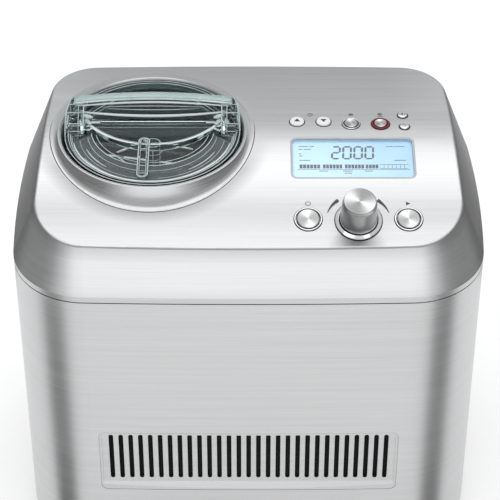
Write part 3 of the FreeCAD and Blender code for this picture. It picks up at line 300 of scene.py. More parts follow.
def clear(name, tint, absorb, density, rough=(0.015, 0.05), ior=1.49):
    m = Mat(name)
    co = m.coords()
    f = m.noise(co, 60.0, 3.0, 0.6)
    m.set(Base_Color=m.ramp(f, [(0.3, tint), (0.7, tuple(min(1.0, c * 1.01) for c in tint))]), Roughness=m.remap(f, 0.3, 0.7, rough[0], rough[1]))
    m.b.inputs["Transmission Weight"].default_value = 1.0
    m.b.inputs["IOR"].default_value = ior
    if density:
        v = m.t.nodes.new("ShaderNodeVolumeAbsorption")
        v.inputs["Color"].default_value = (absorb[0], absorb[1], absorb[2], 1.0)
        v.inputs["Density"].default_value = density
        m.t.links.new(v.outputs[0], m.out.inputs["Volume"])
    return m.m


def glow(name, lo, hi, strength, rough=(0.3, 0.4), scale=30.0):
    m = Mat(name)
    co = m.coords()
    f = m.noise(co, scale, 3.0, 0.5)
    c = m.ramp(f, [(0.3, lo), (0.7, hi)])
    m.set(Base_Color=c, Roughness=m.remap(f, 0.3, 0.7, rough[0], rough[1]))
    m.put(m.b.inputs["Emission Color"], c)
    m.b.inputs["Emission Strength"].default_value = strength
    return m.m


def g3(v):
    return (v, v, v)


MATS = {
    "brushed_steel": brushed("steel_body", (0.545, 0.548, 0.55), (0.645, 0.647, 0.65)),
    "grille_steel": brushed("steel_grille", (0.53, 0.532, 0.535), (0.63, 0.632, 0.635), (0.3, 0.42), 0.4),
    "collar_steel": turned("steel_collar", (0.50, 0.50, 0.505), (0.60, 0.60, 0.605), (AX, AY, 0), (0.24, 0.33), 0.4, 900.0),
    "black_plastic": plastic("black_plastic_grain", (0.010, 0.010, 0.011), (0.022, 0.022, 0.024), (0.42, 0.58)),
    "rubber": plastic("black_rubber", (0.012, 0.012, 0.012), (0.028, 0.028, 0.029), (0.7, 0.85), 700.0, 0.00004, 0.3),
    "screw_steel": metal("screw_steel_plated", (0.5, 0.5, 0.5), (0.66, 0.66, 0.65), (0.25, 0.4)),
    "bezel_plastic": plastic("bezel_grey", (0.40, 0.45, 0.50), (0.47, 0.52, 0.57), (0.25, 0.35), 1200.0, 0.000004),
    "display_glass": clear("display_window_clear", (0.97, 0.985, 1.0), (0.8, 0.9, 1.0), 0.0),
    "lcd": glow("lcd_backlit", (0.30, 0.50, 0.66), (0.34, 0.54, 0.70), 0.30),
    "pcb": plastic("board_green", (0.012, 0.07, 0.03), (0.02, 0.11, 0.05), (0.35, 0.5), 400.0, 0.00003, 0.5),
    "chrome": metal("bright_chrome", (0.78, 0.785, 0.79), (0.88, 0.885, 0.89), (0.06, 0.13), 300.0, 0.000003),
    "spun_metal": metal("satin_metal", (0.62, 0.62, 0.62), (0.74, 0.74, 0.74), (0.2, 0.32)),
    "white_plastic": plastic("white_keys", (0.78, 0.78, 0.78), (0.86, 0.86, 0.86), (0.3, 0.42), 1200.0, 0.00001, 0.5, 0.2),
    "red_light": glow("red_lit_ring", (0.13, 0.002, 0.010), (0.19, 0.003, 0.015), 0.06, (0.2, 0.3)),
    # bowl metal coloured near black: painted shade for the inside of the bowl under the lid
    "bowl_aluminium": metal("bowl_painted_shade", (0.030, 0.033, 0.036), (0.052, 0.056, 0.060), (0.34, 0.5), 500.0, 0.00001),
    "pipe_metal": metal("pipe_grey", (0.42, 0.42, 0.42), (0.55, 0.55, 0.55), (0.35, 0.5)),
    "foam": plastic("insulation_foam", (0.60, 0.52, 0.36), (0.72, 0.64, 0.46), (0.8, 0.95), 260.0, 0.0004, 0.2),
    "zinc_steel": metal("zinc_plated", (0.48, 0.49, 0.50), (0.64, 0.65, 0.65), (0.3, 0.5), 90.0, 0.00001),
    "bronze": metal("sintered_bronze", (0.36, 0.23, 0.10), (0.50, 0.33, 0.16), (0.4, 0.6)),
    "gear_plastic": plastic("gear_acetal", (0.66, 0.64, 0.58), (0.76, 0.74, 0.68), (0.35, 0.5)),
    "motor_metal": metal("motor_can", (0.40, 0.40, 0.41), (0.52, 0.52, 0.53), (0.35, 0.5)),
    "compressor_paint": plastic("compressor_black_paint", (0.008, 0.008, 0.009), (0.02, 0.02, 0.022), (0.25, 0.4), 120.0, 0.00008, 0.5, 0.3),
    "fin_aluminium": metal("fin_aluminium", (0.55, 0.56, 0.57), (0.68, 0.69, 0.70), (0.3, 0.45)),
    "copper": metal("copper_tube", (0.50, 0.20, 0.10), (0.68, 0.32, 0.18), (0.25, 0.45)),
    "paddle_plastic": clear("paddle_clear", (0.93, 0.97, 0.975), (0.5, 0.8, 0.82), 6.0, (0.03, 0.08)),
    "clear_lid": clear("lid_clear", (0.93, 0.985, 0.98), (0.30, 0.72, 0.70), 14.0, (0.01, 0.03), 1.27),
    "seal_rubber": plastic("seal_dark", (0.015, 0.016, 0.017), (0.03, 0.031, 0.032), (0.6, 0.75), 700.0, 0.00003, 0.3),
}

SLOT_OF = {}


def find_slots():
    rec = frame["record"]

    def walk(o):
        if isinstance(o, dict):
            if "node" in o and "material_slot" in o:
                SLOT_OF[o["node"]] = o["material_slot"]
            for v in o.values():
                walk(v)
        elif isinstance(o, list):
            for v in o:
                walk(v)

    walk(rec)


find_slots()
for name, ob in NODES.items():
    mt = MATS.get(SLOT_OF.get(name))
    if mt is None:
        print("no slot for", name)
        continue
    ob.data.materials.clear()
    ob.data.materials.append(mt)


def paint(node, mat):
    ob = NODES[node]
    ob.data.materials.clear()
    ob.data.materials.append(mat)


# the cover's colour carries painted shade and painted reflections through its tone factor
paint("top_cover", brushed("steel_cover_painted_shade", (0.60, 0.603, 0.606), (0.71, 0.712, 0.715), tone=cover_painted_shade))
paint("lid_hatch", clear("hatch_clear", (0.94, 0.985, 0.98), (0.34, 0.76, 0.74), 12.0, (0.01, 0.03), 1.40))


# turned faces, each about its own axis, with the fan-shaped sheen of a spun cap painted into the colour: a painted
# highlight in light and dark sectors by angle round the axis
def spun(name, c, turn=0.0, lo=0.30, hi=0.80):
    m = Mat(name)
    co = m.coords()
    rel = m.node("ShaderNodeVectorMath", "SUBTRACT", _0=co, _1=(c[0] * MM, c[1] * MM, surf_z(c[1]) * MM)).outputs[0]
    r = m.t.nodes.new("ShaderNodeVectorRotate")
    r.rotation_type = "X_AXIS"
    m.put(r.inputs["Vector"], rel)
    r.inputs["Angle"].default_value = -slope(c[1])
    sep = m.node("ShaderNodeSeparateXYZ", _0=r.outputs[0]).outputs
    rad = m.math("SQRT", m.math("ADD", m.math("MULTIPLY", sep[0], sep[0]), m.math("MULTIPLY", sep[1], sep[1])))
    ang = m.math("ARCTAN2", sep[1], sep[0])
    # painted highlight: two light and two dark sectors by angle round the axis, turned by turn
    fan_painted_highlight = m.math("MULTIPLY_ADD", m.math("COSINE", m.math("MULTIPLY_ADD", ang, 2.0, turn)), 0.5, 0.5)
    lines = m.noise(m.node("ShaderNodeCombineXYZ", _0=m.math("MULTIPLY", rad, 5200.0), _1=0.0, _2=m.math("MULTIPLY", sep[2], 2600.0)).outputs[0], 1.0, 2.0, 0.6)
    shade = m.math("ADD", m.math("MULTIPLY", m.math("POWER", fan_painted_highlight, 1.6), 0.78), m.math("MULTIPLY", lines, 0.22))
    m.set(Base_Color=m.ramp(shade, [(0.05, g3(lo)), (0.45, g3((lo + hi) / 2 - 0.06)), (0.95, g3(hi))]), Metallic=1.0, Roughness=m.remap(lines, 0.25, 0.75, 0.24, 0.32), Anisotropic=0.5)
    tx = m.node("ShaderNodeCombineXYZ", _0=m.math("MULTIPLY", sep[1], -1.0), _1=sep[0], _2=0.0).outputs[0]
    m.put(m.b.inputs["Tangent"], m.node("ShaderNodeVectorMath", "NORMALIZE", _0=tx).outputs[0])
    return m.m


for node, c, turn in (("power_button", POWER, 2.6), ("start_button", START, 2.2), ("precool_button", PRE, 2.6), ("keepcool_button", KEEP, 2.6), ("selector_knob", KNOB, 1.1)):
    paint(node, spun("spun_" + node, c, turn, 0.26 if node == "selector_knob" else 0.34, 0.74 if node == "selector_knob" else 0.80))


# ---------------------------------------------------------------- mesh helpers (mm in, metres out)
def make(name, verts, faces, mat, body="housing", slot=None, smooth=True, xf=None, stage=False):
    if xf is not None:
        verts = [tuple(xf @ Vector(v)) for v in verts]
    me = bpy.data.meshes.new(name)
    me.from_pydata([(v[0] * MM, v[1] * MM, v[2] * MM) for v in verts], [], faces)
    me.validate()
    me.update()
    if smooth:
        me.shade_smooth()
    ob = bpy.data.objects.new(name, me)
    coll.objects.link(ob)
    if mat is not None:
        me.materials.append(mat)
    if stage:
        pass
    else:
        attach(ob, body)
    return ob


def auto_sharp(ob, deg=32.0):
    me = ob.data
    me.set_sharp_from_angle(angle=math.radians(deg))
    return ob


def lathe(prof, n=96):
    """Closed (r, z) outline turned about z."""
    v, f = [], []
    k = len(prof)
    for i in range(n):
        a = 2 * math.pi * i / n
        for r, z in prof:
            v.append((r * math.cos(a), r * math.sin(a), z))
    for i in range(n):
        j = (i + 1) % n
        for q in range(k):
            p = (q + 1) % k
            f.append((i * k + q, j * k + q, j * k + p, i * k + p))
    return v, f


def strip(path, w, z0, z1, closed=False):
    """A flat ribbon w wide along a 2-D path, from z0 up to z1."""
    n = len(path)
    left, right = [], []
    for i, (x, y) in enumerate(path):
        if closed:
            a, b = path[i - 1], path[(i + 1) % n]
        else:
            a, b = path[max(0, i - 1)], path[min(n - 1, i + 1)]
        dx, dy = b[0] - a[0], b[1] - a[1]
        L = math.hypot(dx, dy) or 1.0
        nx, ny = -dy / L * w / 2, dx / L * w / 2
        left.append((x + nx, y + ny))
        right.append((x - nx, y - ny))
    v, f = [], []
    for i in range(n):
        v += [(left[i][0], left[i][1], z0), (right[i][0], right[i][1], z0), (right[i][0], right[i][1], z1), (left[i][0], left[i][1], z1)]
    m = n if closed else n - 1
    for i in range(m):
        a, b = 4 * i, 4 * ((i + 1) % n)
        for q in range(4):
            p = (q + 1) % 4
            f.append((a + q, b + q, b + p, a + p))
    if not closed:
        f.append((0, 1, 2, 3))
        e = 4 * (n - 1)
        f.append((e + 3, e + 2, e + 1, e))
    return v, f


def poly(pts, z0, z1):
    n = len(pts)
    v = [(x, y, z0) for x, y in pts] + [(x, y, z1) for x, y in pts]
    f = [tuple(reversed(range(n))), tuple(range(n, 2 * n))]
    for i in range(n):
        j = (i + 1) % n
        f.append((i, j, n + j, n + i))
    return v, f


def join(parts):
    v, f = [], []
    for a, b in parts:
        o = len(v)
        v += a
        f += [tuple(i + o for i in q) for q in b]
    return v, f


def arc(cx, cy, r, a0, a1, n=24):
    return [(cx + r * math.cos(math.radians(a0 + (a1 - a0) * i / n)), cy + r * math.sin(math.radians(a0 + (a1 - a0) * i / n))) for i in range(n + 1)]


def rrect_pts(w, d, r, n=6):
    p = []
    for cx, cy, a in ((w / 2 - r, -d / 2 + r, -90), (w / 2 - r, d / 2 - r, 0), (-w / 2 + r, d / 2 - r, 90), (-w / 2 + r, -d / 2 + r, 180)):
        p += arc(cx, cy, r, a, a + 90, n)
    return p


# ---------------------------------------------------------------- collar: one smooth flared ring
def r_base(th):
    s = math.sin(th)
    return 82.7 + (5.0 * s * s if s < 0 else -1.2 * s * s)


def collar_mesh(n=256, m=44):
    v, f = [], []
    ztop = Z_RIM - 0.5
    inner = [(R_RIM - 0.12, ztop + 0.30), (R_RIM - 0.45, Z_RIM - 0.05), (R_RIM - 0.8, Z_RIM), (R_RIM - 1.5, Z_RIM), (R_RIM - 1.75, Z_RIM - 0.28), (R_RIM - 2.05, Z_RIM - 0.28), (R_RIM - 2.3, Z_RIM - 0.02),
             (R_IN + 1.7, Z_RIM - 0.06), (R_IN + 1.1, Z_RIM - 0.5), (R_IN + 0.2, Z_RIM - 1.8), (R_IN, Z_RIM - 2.4), (R_IN, 328.4)]
    k = None
    for i in range(n):
        th = 2 * math.pi * i / n
        back = max(0.0, min(1.0, (math.sin(th) + 0.25) / 0.9))
        back = back * back * (3 - 2 * back)
        rb = r_base(th) - 0.35 * (1 - back) + 0.75 * back
        zb = surf_z(AY + rb * math.sin(th)) + 0.06 * back
        prof = [(r_base(th) - 0.5, 328.4), (r_base(th) - 0.5, zb - 1.6), (rb, zb - 0.5 * (1 - back) - 0.04 * back)]
        for q in range(m + 1):
            s = q / m
            z = zb + (ztop - zb) * (s * s * 0.75 + s * 0.25)
            t = 1.0 - math.sqrt(max(0.0, (z - zb) / (ztop - zb)))
            prof.append((R_RIM + (rb - R_RIM) * t, z))
        prof += inner
        k = len(prof)
        for r, z in prof:
            v.append((AX + r * math.cos(th), AY + r * math.sin(th), z))
    for i in range(n):
        j = (i + 1) % n
        for q in range(k):
            p = (q + 1) % k
            f.append((i * k + q, j * k + q, j * k + p, i * k + p))
    return v, f


cv, cf = collar_mesh()
collar = auto_sharp(make("collar_flare", cv, cf, MATS["collar_steel"], "housing", "collar_steel"), 40)
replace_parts(collar, "bowl_collar")

# ---------------------------------------------------------------- display contents: digits and marks on the panel's glass
PD = panel_frame(*DISP)
ink = plastic("display_ink", (0.012, 0.016, 0.03), (0.02, 0.026, 0.045), (0.4, 0.5), 1500.0, 0.000002)
ink_soft = plastic("display_ink_soft", (0.07, 0.10, 0.15), (0.09, 0.12, 0.17), (0.4, 0.5), 1500.0, 0.000002)
ZL0, ZL1 = -3.62, -3.56
W_D, D_D = 99.5, 46.9
win = make("display_pane", *poly(rrect_pts(W_D - 3.4, D_D - 3.4, 3.9), -3.4, -2.0), MATS["display_glass"], "housing", "display_glass", smooth=False, xf=PD)
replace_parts(win, "display_window")
win.visible_shadow = False


def lcd_face_painted_light():
    m = Mat("lcd_face_blue")
    co = m.coords()
    rel = m.node("ShaderNodeVectorMath", "SUBTRACT", _0=co, _1=(DISP[0] * MM, DISP[1] * MM, 0.0)).outputs[0]
    sep = m.node("ShaderNodeSeparateXYZ", _0=rel).outputs
    f = m.noise(co, 26.0, 2.0)
    # painted highlight lighter to the left and painted shade darker towards the back edge; the glow itself is the
    # display's backlight
    across = m.remap(sep[0], -0.05, 0.05, 0.0, 1.0)
    down = m.remap(sep[1], -0.022, 0.022, 0.0, 1.0)
    k = m.math("ADD", m.math("MULTIPLY", across, 0.45), m.math("ADD", m.math("MULTIPLY", down, 0.30), m.math("MULTIPLY", f, 0.25)))
    c = m.ramp(k, [(0.15, (0.50, 0.69, 0.80)), (0.55, (0.36, 0.57, 0.73)), (0.9, (0.26, 0.47, 0.66))])
    m.set(Base_Color=c, Roughness=m.remap(f, 0.3, 0.7, 0.3, 0.4))
    m.put(m.b.inputs["Emission Color"], c)
    m.b.inputs["Emission Strength"].default_value = 0.34
    return m.m


make("display_face", *poly(rrect_pts(W_D - 3.5, D_D - 3.5, 3.8), -4.0, -3.62), lcd_face_painted_light(), "housing", "lcd", smooth=False, xf=PD)
SEG = {"0": "abcdef", "1": "bc", "2": "abged", "3": "abgcd", "4": "fgbc", "5": "afgcd", "6": "afgedc", "7": "abc", "8": "abcdefg", "9": "abcdfg"}


def digit(ch, x, y, w, h, t, lean=0.10):
    """Seven-segment numeral, lower-left corner at x, y."""
    g = 0.35
    pos = {"a": ((g, h), (w - g, h)), "g": ((g, h / 2), (w - g, h / 2)), "d": ((g, 0), (w - g, 0)), "f": ((0, h / 2 + g), (0, h - g)),
           "b": ((w, h / 2 + g), (w, h - g)), "e": ((0, g), (0, h / 2 - g)), "c": ((w, g), (w, h / 2 - g))}
    out = []
    for s in SEG[ch]:
        (x0, y0), (x1, y1) = pos[s]
        dx, dy = x1 - x0, y1 - y0
        L = math.hypot(dx, dy)
        ux, uy = dx / L, dy / L
        px, py = -uy * t / 2, ux * t / 2
        e = t / 2
        pts = [(x0 - 0 * ux, y0 - 0 * uy), (x0 + e * ux - px, y0 + e * uy - py), (x1 - e * ux - px, y1 - e * uy - py), (x1, y1), (x1 - e * ux + px, y1 - e * uy + py),
               (x0 + e * ux + px, y0 + e * uy + py)]
        pts = [(x + a + lean * b, y + b) for a, b in pts]
        out.append(poly(pts, ZL0, ZL1))
    return out


dig = []
for i, ch in enumerate("2000"):
    dig += digit(ch, -16.6 + 8.9 * i, 1.6, 6.1, 13.6, 1.7, 0.05)
make("display_numerals", *join(dig), ink, "housing", "lcd", smooth=False, xf=PD)

marks = []


def dash(x, y, w, h=0.9):
    y += 2.6
    marks.append(poly([(x, y), (x + w, y), (x + w, y + h), (x, y + h)], ZL0, ZL1))


for x, y, w in ((-43.0, 12.6, 7.5), (-34.6, 12.6, 4.0), (-43.0, 9.4, 3.0), (-39.0, 9.4, 6.0), (27.0, 12.6, 6.0), (34.0, 12.6, 8.0), (-43.0, -3.4, 9.0), (33.0, -3.4, 9.5),
                (-27.0, -15.6, 7.0), (-8.0, -15.6, 7.5), (9.0, -15.6, 6.5), (-7.0, -18.0, 6.0), (-43.0, 4.0, 2.0), (-43.0, 1.6, 3.0)):
    dash(x, y, w, 0.85)
make("display_marks", *join(marks), ink_soft, "housing", "lcd", smooth=False, xf=PD)

bars = []
x = -42.6
for grp in ((-42.6, -25.8), (-24.0, -8.2), (-6.5, 9.2), (10.0, 20.6)):
    n = 6 if grp[1] - grp[0] > 12 else 4
    w = (grp[1] - grp[0]) / n
    for k in range(n):
        a = grp[0] + w * k
        bars.append(poly([(a, -9.6), (a + w - 0.5, -9.6), (a + w - 0.5, -5.2), (a, -5.2)], ZL0, ZL1))
bars.append(strip([(21.4, -9.6), (44.2, -9.6), (44.2, -5.2), (21.4, -5.2)], 0.45, ZL0, ZL1, True))
for k in range(1, 7):
    bars.append(strip([(21.4 + 3.26 * k, -9.6), (21.4 + 3.26 * k, -5.2)], 0.35, ZL0, ZL1))
bars.append(strip([(-44.4, -10.8), (45.4, -10.8)], 0.4, ZL0, ZL1))
make("display_scale_bar", *join(bars), ink, "housing", "lcd", smooth=False, xf=PD)

# ---------------------------------------------------------------- rings round the keys, with black rings of painted shadow in the gaps on both sides
# painted shadow: black pieces set in the gaps round keys, rings and knob, where the gaps fall in shade
gap_painted_shadow = plastic("gap_shadow_black", (0.004, 0.004, 0.004), (0.010, 0.010, 0.010), (0.6, 0.7), 900.0, 0.00001, 0.2)


def round_piece(name, prof, c, mat, slot, body="housing", n=72):
    return auto_sharp(make(name, *lathe(prof, n), mat, body, slot, xf=panel_frame(*c)), 40)


def ring_prof(ro, ri, top):
    return [(ri, -4.0), (ro, -4.0), (ro, top - 0.45), (ro - 0.1, top - 0.2), (ro - 0.32, top - 0.03), (ro - 0.6, top), (ri + 0.6, top), (ri + 0.3, top - 0.05), (ri + 0.08, top - 0.22), (ri, top - 0.5)]


for tag, c, ro, ri, mat in (("power", POWER, 10.95, 9.75, "chrome"), ("start", START, 10.95, 9.75, "chrome"), ("precool", PRE, 7.25, 6.25, "chrome"), ("keepcool", KEEP, 7.55, 5.75, "red_light")):
    node = {"power": "power_ring", "start": "start_ring", "precool": "precool_ring", "keepcool": "keepcool_light_ring"}[tag]
    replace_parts(round_piece("ring_" + tag, ring_prof(ro, ri, 1.0), c, MATS[mat], mat), node)
    round_piece("gap_" + tag, [(ro + 0.02, -1.0), (ro + 0.5, -1.0), (ro + 0.5, 0.05), (ro + 0.02, 0.09)], c, gap_painted_shadow, "black_plastic")
for tag, c, r in (("up", UP, 6.02), ("down", DOWN, 6.02), ("volume", VOL, 4.15), ("units", UNITS, 4.15)):
    round_piece("gap_" + tag, [(r, -1.0), (r + 0.62, -1.0), (r + 0.62, 0.05), (r, 0.12)], c, gap_painted_shadow, "black_plastic")
round_piece("gap_knob", [(18.52, -1.0), (18.95, -1.0), (18.95, 0.05), (18.52, 0.09)], KNOB, gap_painted_shadow, "black_plastic", n=120)
# black floor between the knob and its base ring: painted shadow in that gap
round_piece("knob_well_floor", [(4.6, -1.2), (15.35, -1.2), (15.35, 0.25), (4.6, 0.25)], KNOB, gap_painted_shadow, "black_plastic", n=96)

# ---------------------------------------------------------------- printed symbols on the panel and keys
print_ink = plastic("panel_print", (0.05, 0.05, 0.055), (0.075, 0.075, 0.08), (0.5, 0.6), 1500.0, 0.000002)
key_ink = plastic("key_print", (0.012, 0.012, 0.013), (0.02, 0.02, 0.021), (0.45, 0.55), 1500.0, 0.000002)


def printed(name, parts, x, y, mat=None):
    return make(name, *join(parts), mat or print_ink, "housing", "black_plastic", smooth=False, xf=panel_frame(x, y))


P0, P1 = 0.0, 0.07


def power_symbol(r=2.0):
    return [strip(arc(0, 0, r, 120, 420, 28), 0.5, P0, P1), strip([(0, 0.3), (0, r + 0.5)], 0.5, P0, P1)]


def clock_symbol(r=1.9):
    return [strip(arc(0, 0, r, 0, 360, 30)[:-1], 0.45, P0, P1, True), strip([(0, 1.2), (0, 0), (0.9, -0.5)], 0.4, P0, P1)]


def flake_symbol(r=2.1):
    out = []
    for k in range(6):
        a = math.radians(60 * k + 30)
        c, s = math.cos(a), math.sin(a)
        out.append(strip([(0.0, 0.0), (r * c, r * s)], 0.4, P0, P1))
        for d in (-1, 1):
            b = a + d * 0.9
            out.append(strip([(0.6 * r * c, 0.6 * r * s), (0.6 * r * c + 0.75 * math.cos(b), 0.6 * r * s + 0.75 * math.sin(b))], 0.35, P0, P1))
    return out


printed("mark_power", power_symbol(), 46.4, -71.1)
printed("mark_start", [poly([(-1.5, -1.9), (1.9, 0), (-1.5, 1.9)], P0, P1)], 124.6, -71.1)
printed("mark_timer", clock_symbol(), 50.2, 31.0)
printed("mark_precool", flake_symbol(), 83.4, 31.2)
printed("mark_keepcool", flake_symbol() + [strip([(-2.4, -3.1), (2.4, -3.1)], 0.5, P0, P1)], 107.2, 31.6)
for side, (cx, a0, a1) in (("left", (KNOB[0], 128, 163)), ("right", (KNOB[0], 17, 52))):
    pth = arc(0, 0, 25.0, a0, a1, 20)
    n = len(pth)
    v, f = [], []
    for i, (px, py) in enumerate(pth):
        s = i / (n - 1)
        w = (0.25 + 1.1 * (s if side == "left" else 1 - s))
        w = 0.25 + 1.1 * (1 - s) if side == "left" else 0.25 + 1.1 * s
        rr = 25.0
        c, q = px / rr, py / rr
        for r, z in ((rr - w, P0), (rr + w, P0), (rr + w, P1), (rr - w, P1)):
            v.append((c * r, q * r, z))
    for i in range(n - 1):
        for k in range(4):
            a, b = 4 * i, 4 * i + 4
            f.append((a + k, a + (k + 1) % 4, b + (k + 1) % 4, b + k))
    f.append((3, 2, 1, 0))
    e = 4 * (n - 1)
    f.append((e, e + 1, e + 2, e + 3))
    make("mark_arc_" + side, v, f, print_ink, "housing", "black_plastic", smooth=False, xf=panel_frame(*KNOB))


def key_mark(name, parts, c, body):
    return make(name, *join(parts), key_ink, body, "black_plastic", smooth=False, xf=panel_frame(*c))


TZ = 1.82
key_mark("mark_up", [poly([(-2.5, -1.6), (2.5, -1.6), (0, 2.4)], TZ - 0.3, TZ + 0.03)], UP, "timer_up_key")
key_mark("mark_down", [poly([(2.5, 1.6), (-2.5, 1.6), (0, -2.4)], TZ - 0.3, TZ + 0.03)], DOWN, "timer_down_key")
VZ = 1.48
key_mark("mark_volume", [poly([(-1.5, -0.6), (-0.6, -0.6), (0.5, -1.5), (0.5, 1.5), (-0.6, 0.6), (-1.5, 0.6)], VZ - 0.25, VZ + 0.03), strip(arc(0.3, 0, 1.6, -45, 45, 8), 0.35, VZ - 0.25, VZ + 0.03)],
         VOL, "volume_key")
key_mark("mark_units", [strip(arc(-0.6, 0.9, 0.55, 0, 360, 14)[:-1], 0.32, VZ - 0.25, VZ + 0.03, True), strip([(0.4, -1.6), (1.3, 1.4)], 0.35, VZ - 0.25, VZ + 0.03)], UNITS, "units_key")

# ---------------------------------------------------------------- dark sheet behind the front slots: painted shade for the dark inside of the housing, with a fine mesh pattern
def painted_shade_screen():
    m = Mat("painted_shade_screen_mesh")
    co = m.coords()
    sep = m.node("ShaderNodeSeparateXYZ", _0=co).outputs
    gx = m.math("SINE", m.math("MULTIPLY", sep[0], 6283.0 / 1.6))
    gz = m.math("SINE", m.math("MULTIPLY", sep[2], 6283.0 / 1.6))
    k = m.math("MULTIPLY", m.math("ADD", gx, gz), 0.5)
    # painted shade: near-black colour where the inside of the housing falls in shade
    m.set(Base_Color=m.ramp(m.remap(k, -1.0, 1.0, 0.0, 1.0), [(0.3, g3(0.003)), (0.7, g3(0.012))]), Roughness=m.remap(k, -1.0, 1.0, 0.7, 0.9))
    m.b.inputs["Specular IOR Level"].default_value = 0.15
    m.put(m.b.inputs["Normal"], m.bump(k, 0.0003, 0.6))
    return m.m


HD = 126.2
v, f = [], []
NX = 48
for i in range(NX + 1):
    x = -121.0 + 242.0 * i / NX
    y = -HD + 4.6 + x * x / (2 * 4700.0)
    v += [(x, y, 79.0), (x, y + 0.8, 79.0), (x, y + 0.8, 137.0), (x, y, 137.0)]
for i in range(NX):
    for q in range(4):
        p = (q + 1) % 4
        f.append((4 * i + q, 4 * i + p, 4 * i + 4 + p, 4 * i + 4 + q))
f += [(3, 2, 1, 0), (4 * NX, 4 * NX + 1, 4 * NX + 2, 4 * NX + 3)]
make("grille_painted_shade_screen", v, f, painted_shade_screen(), "housing", "black_plastic", smooth=False)

# ---------------------------------------------------------------- clear lid: polished edges that carry the light, as beads coloured pale as painted highlights
# polished edges of the moulding, coloured pale and part opaque: a painted highlight for the light they carry
edge_m = Mat("lid_polished_edge_painted_highlight")
_co = edge_m.coords()
_f = edge_m.noise(_co, 90.0, 3.0, 0.6)
edge_m.set(Base_Color=edge_m.ramp(_f, [(0.25, (0.60, 0.74, 0.74)), (0.6, (0.86, 0.95, 0.94)), (0.8, (0.95, 0.99, 0.985))]), Roughness=edge_m.remap(_f, 0.3, 0.7, 0.05, 0.16))
edge_m.b.inputs["Transmission Weight"].default_value = 0.35
edge_m.b.inputs["IOR"].default_value = 1.49
edge_m.b.inputs["Coat Weight"].default_value = 0.5
edge_m.b.inputs["Coat Roughness"].default_value = 0.03
EDGE_PAINTED_HIGHLIGHT = edge_m.m
# painted highlight: near-white, nearly opaque colour for the brightest lines of the lid, hatch and paddle
white_m = Mat("lid_bright_edge_painted_highlight")
_co = white_m.coords()
_f = white_m.noise(_co, 70.0, 3.0, 0.6)
white_m.set(Base_Color=white_m.ramp(_f, [(0.25, (0.80, 0.90, 0.90)), (0.6, (0.95, 0.99, 0.985))]), Roughness=white_m.remap(_f, 0.3, 0.7, 0.05, 0.16))
white_m.b.inputs["Transmission Weight"].default_value = 0.08
white_m.b.inputs["Coat Weight"].default_value = 0.5
white_m.b.inputs["Coat Roughness"].default_value = 0.03
BRIGHT_PAINTED_HIGHLIGHT = white_m.m
face_m = Mat("lid_bar_top_satin")
_co = face_m.coords()
_f = face_m.noise(face_m.scaled(_co, (30.0, 400.0, 30.0)), 1.0, 3.0, 0.6)
face_m.set(Base_Color=face_m.ramp(_f, [(0.3, (0.66, 0.80, 0.80)), (0.7, (0.80, 0.90, 0.90))]), Roughness=face_m.remap(_f, 0.3, 0.7, 0.12, 0.28))
face_m.b.inputs["Transmission Weight"].default_value = 0.45
face_m.b.inputs["IOR"].default_value = 1.45
SATIN = face_m.m


def tube(path, r, n=8, squash=1.0):
    """Round bead along a 3-D path; r may be a list. Ends are closed with flat caps."""
    P = [Vector(p) for p in path]
    R = [r] * len(P) if not isinstance(r, (list, tuple)) else list(r)
    v, f = [], []
    up = Vector((0, 0, 1))
    for i, p in enumerate(P):
        d = (P[min(i + 1, len(P) - 1)] - P[max(i - 1, 0)]).normalized()
        a = up.cross(d)
        if a.length < 1e-4:
            a = Vector((1, 0, 0)).cross(d)
        a.normalize()
        b = d.cross(a).normalized()
        for k in range(n):
            t = 2 * math.pi * k / n
            q = p + a * (R[i] * math.cos(t)) + b * (R[i] * squash * math.sin(t))
            v.append((q.x, q.y, q.z))
    for i in range(len(P) - 1):
        for k in range(n):
            j = (k + 1) % n
            f.append((i * n + k, i * n + j, (i + 1) * n + j, (i + 1) * n + k))
    f.append(tuple(reversed(range(n))))
    e = (len(P) - 1) * n
    f.append(tuple(range(e, e + n)))
    return v, f


def taper(n, r, ends=0.35):
    return [r * (ends + (1 - ends) * math.sin(math.pi * i / (n - 1)) ** 0.5) for i in range(n)]


def crown(x, drop=0.0):
    HB, R = 67.0, (67.0 ** 2 + 5.2 ** 2) / (2 * 5.2)
    return 368.0 - R + math.sqrt(R * R - x * x) - drop


def line3(fn, x0, x1, n=40):
    return [fn(x0 + (x1 - x0) * i / n) for i in range(n + 1)]


def arc3(r, a0, a1, z, n=72, cx=0.0, cy=0.0):
    return [(AX + cx + r * math.cos(math.radians(a0 + (a1 - a0) * i / n)), AY + cy + r * math.sin(math.radians(a0 + (a1 - a0) * i / n)), z) for i in range(n + 1)]


Y0, Y1 = AY + 18.6, AY + 27.0          # front and back faces of the bar
beads = []
beads.append(tube(line3(lambda x: (AX + x, Y0 + 0.2, crown(x, 0.95)), -64.5, 64.5), 0.85))
beads.append(tube(line3(lambda x: (AX + x, Y1 - 0.35, crown(x, 0.5)), -64.5, 64.5), 0.5))
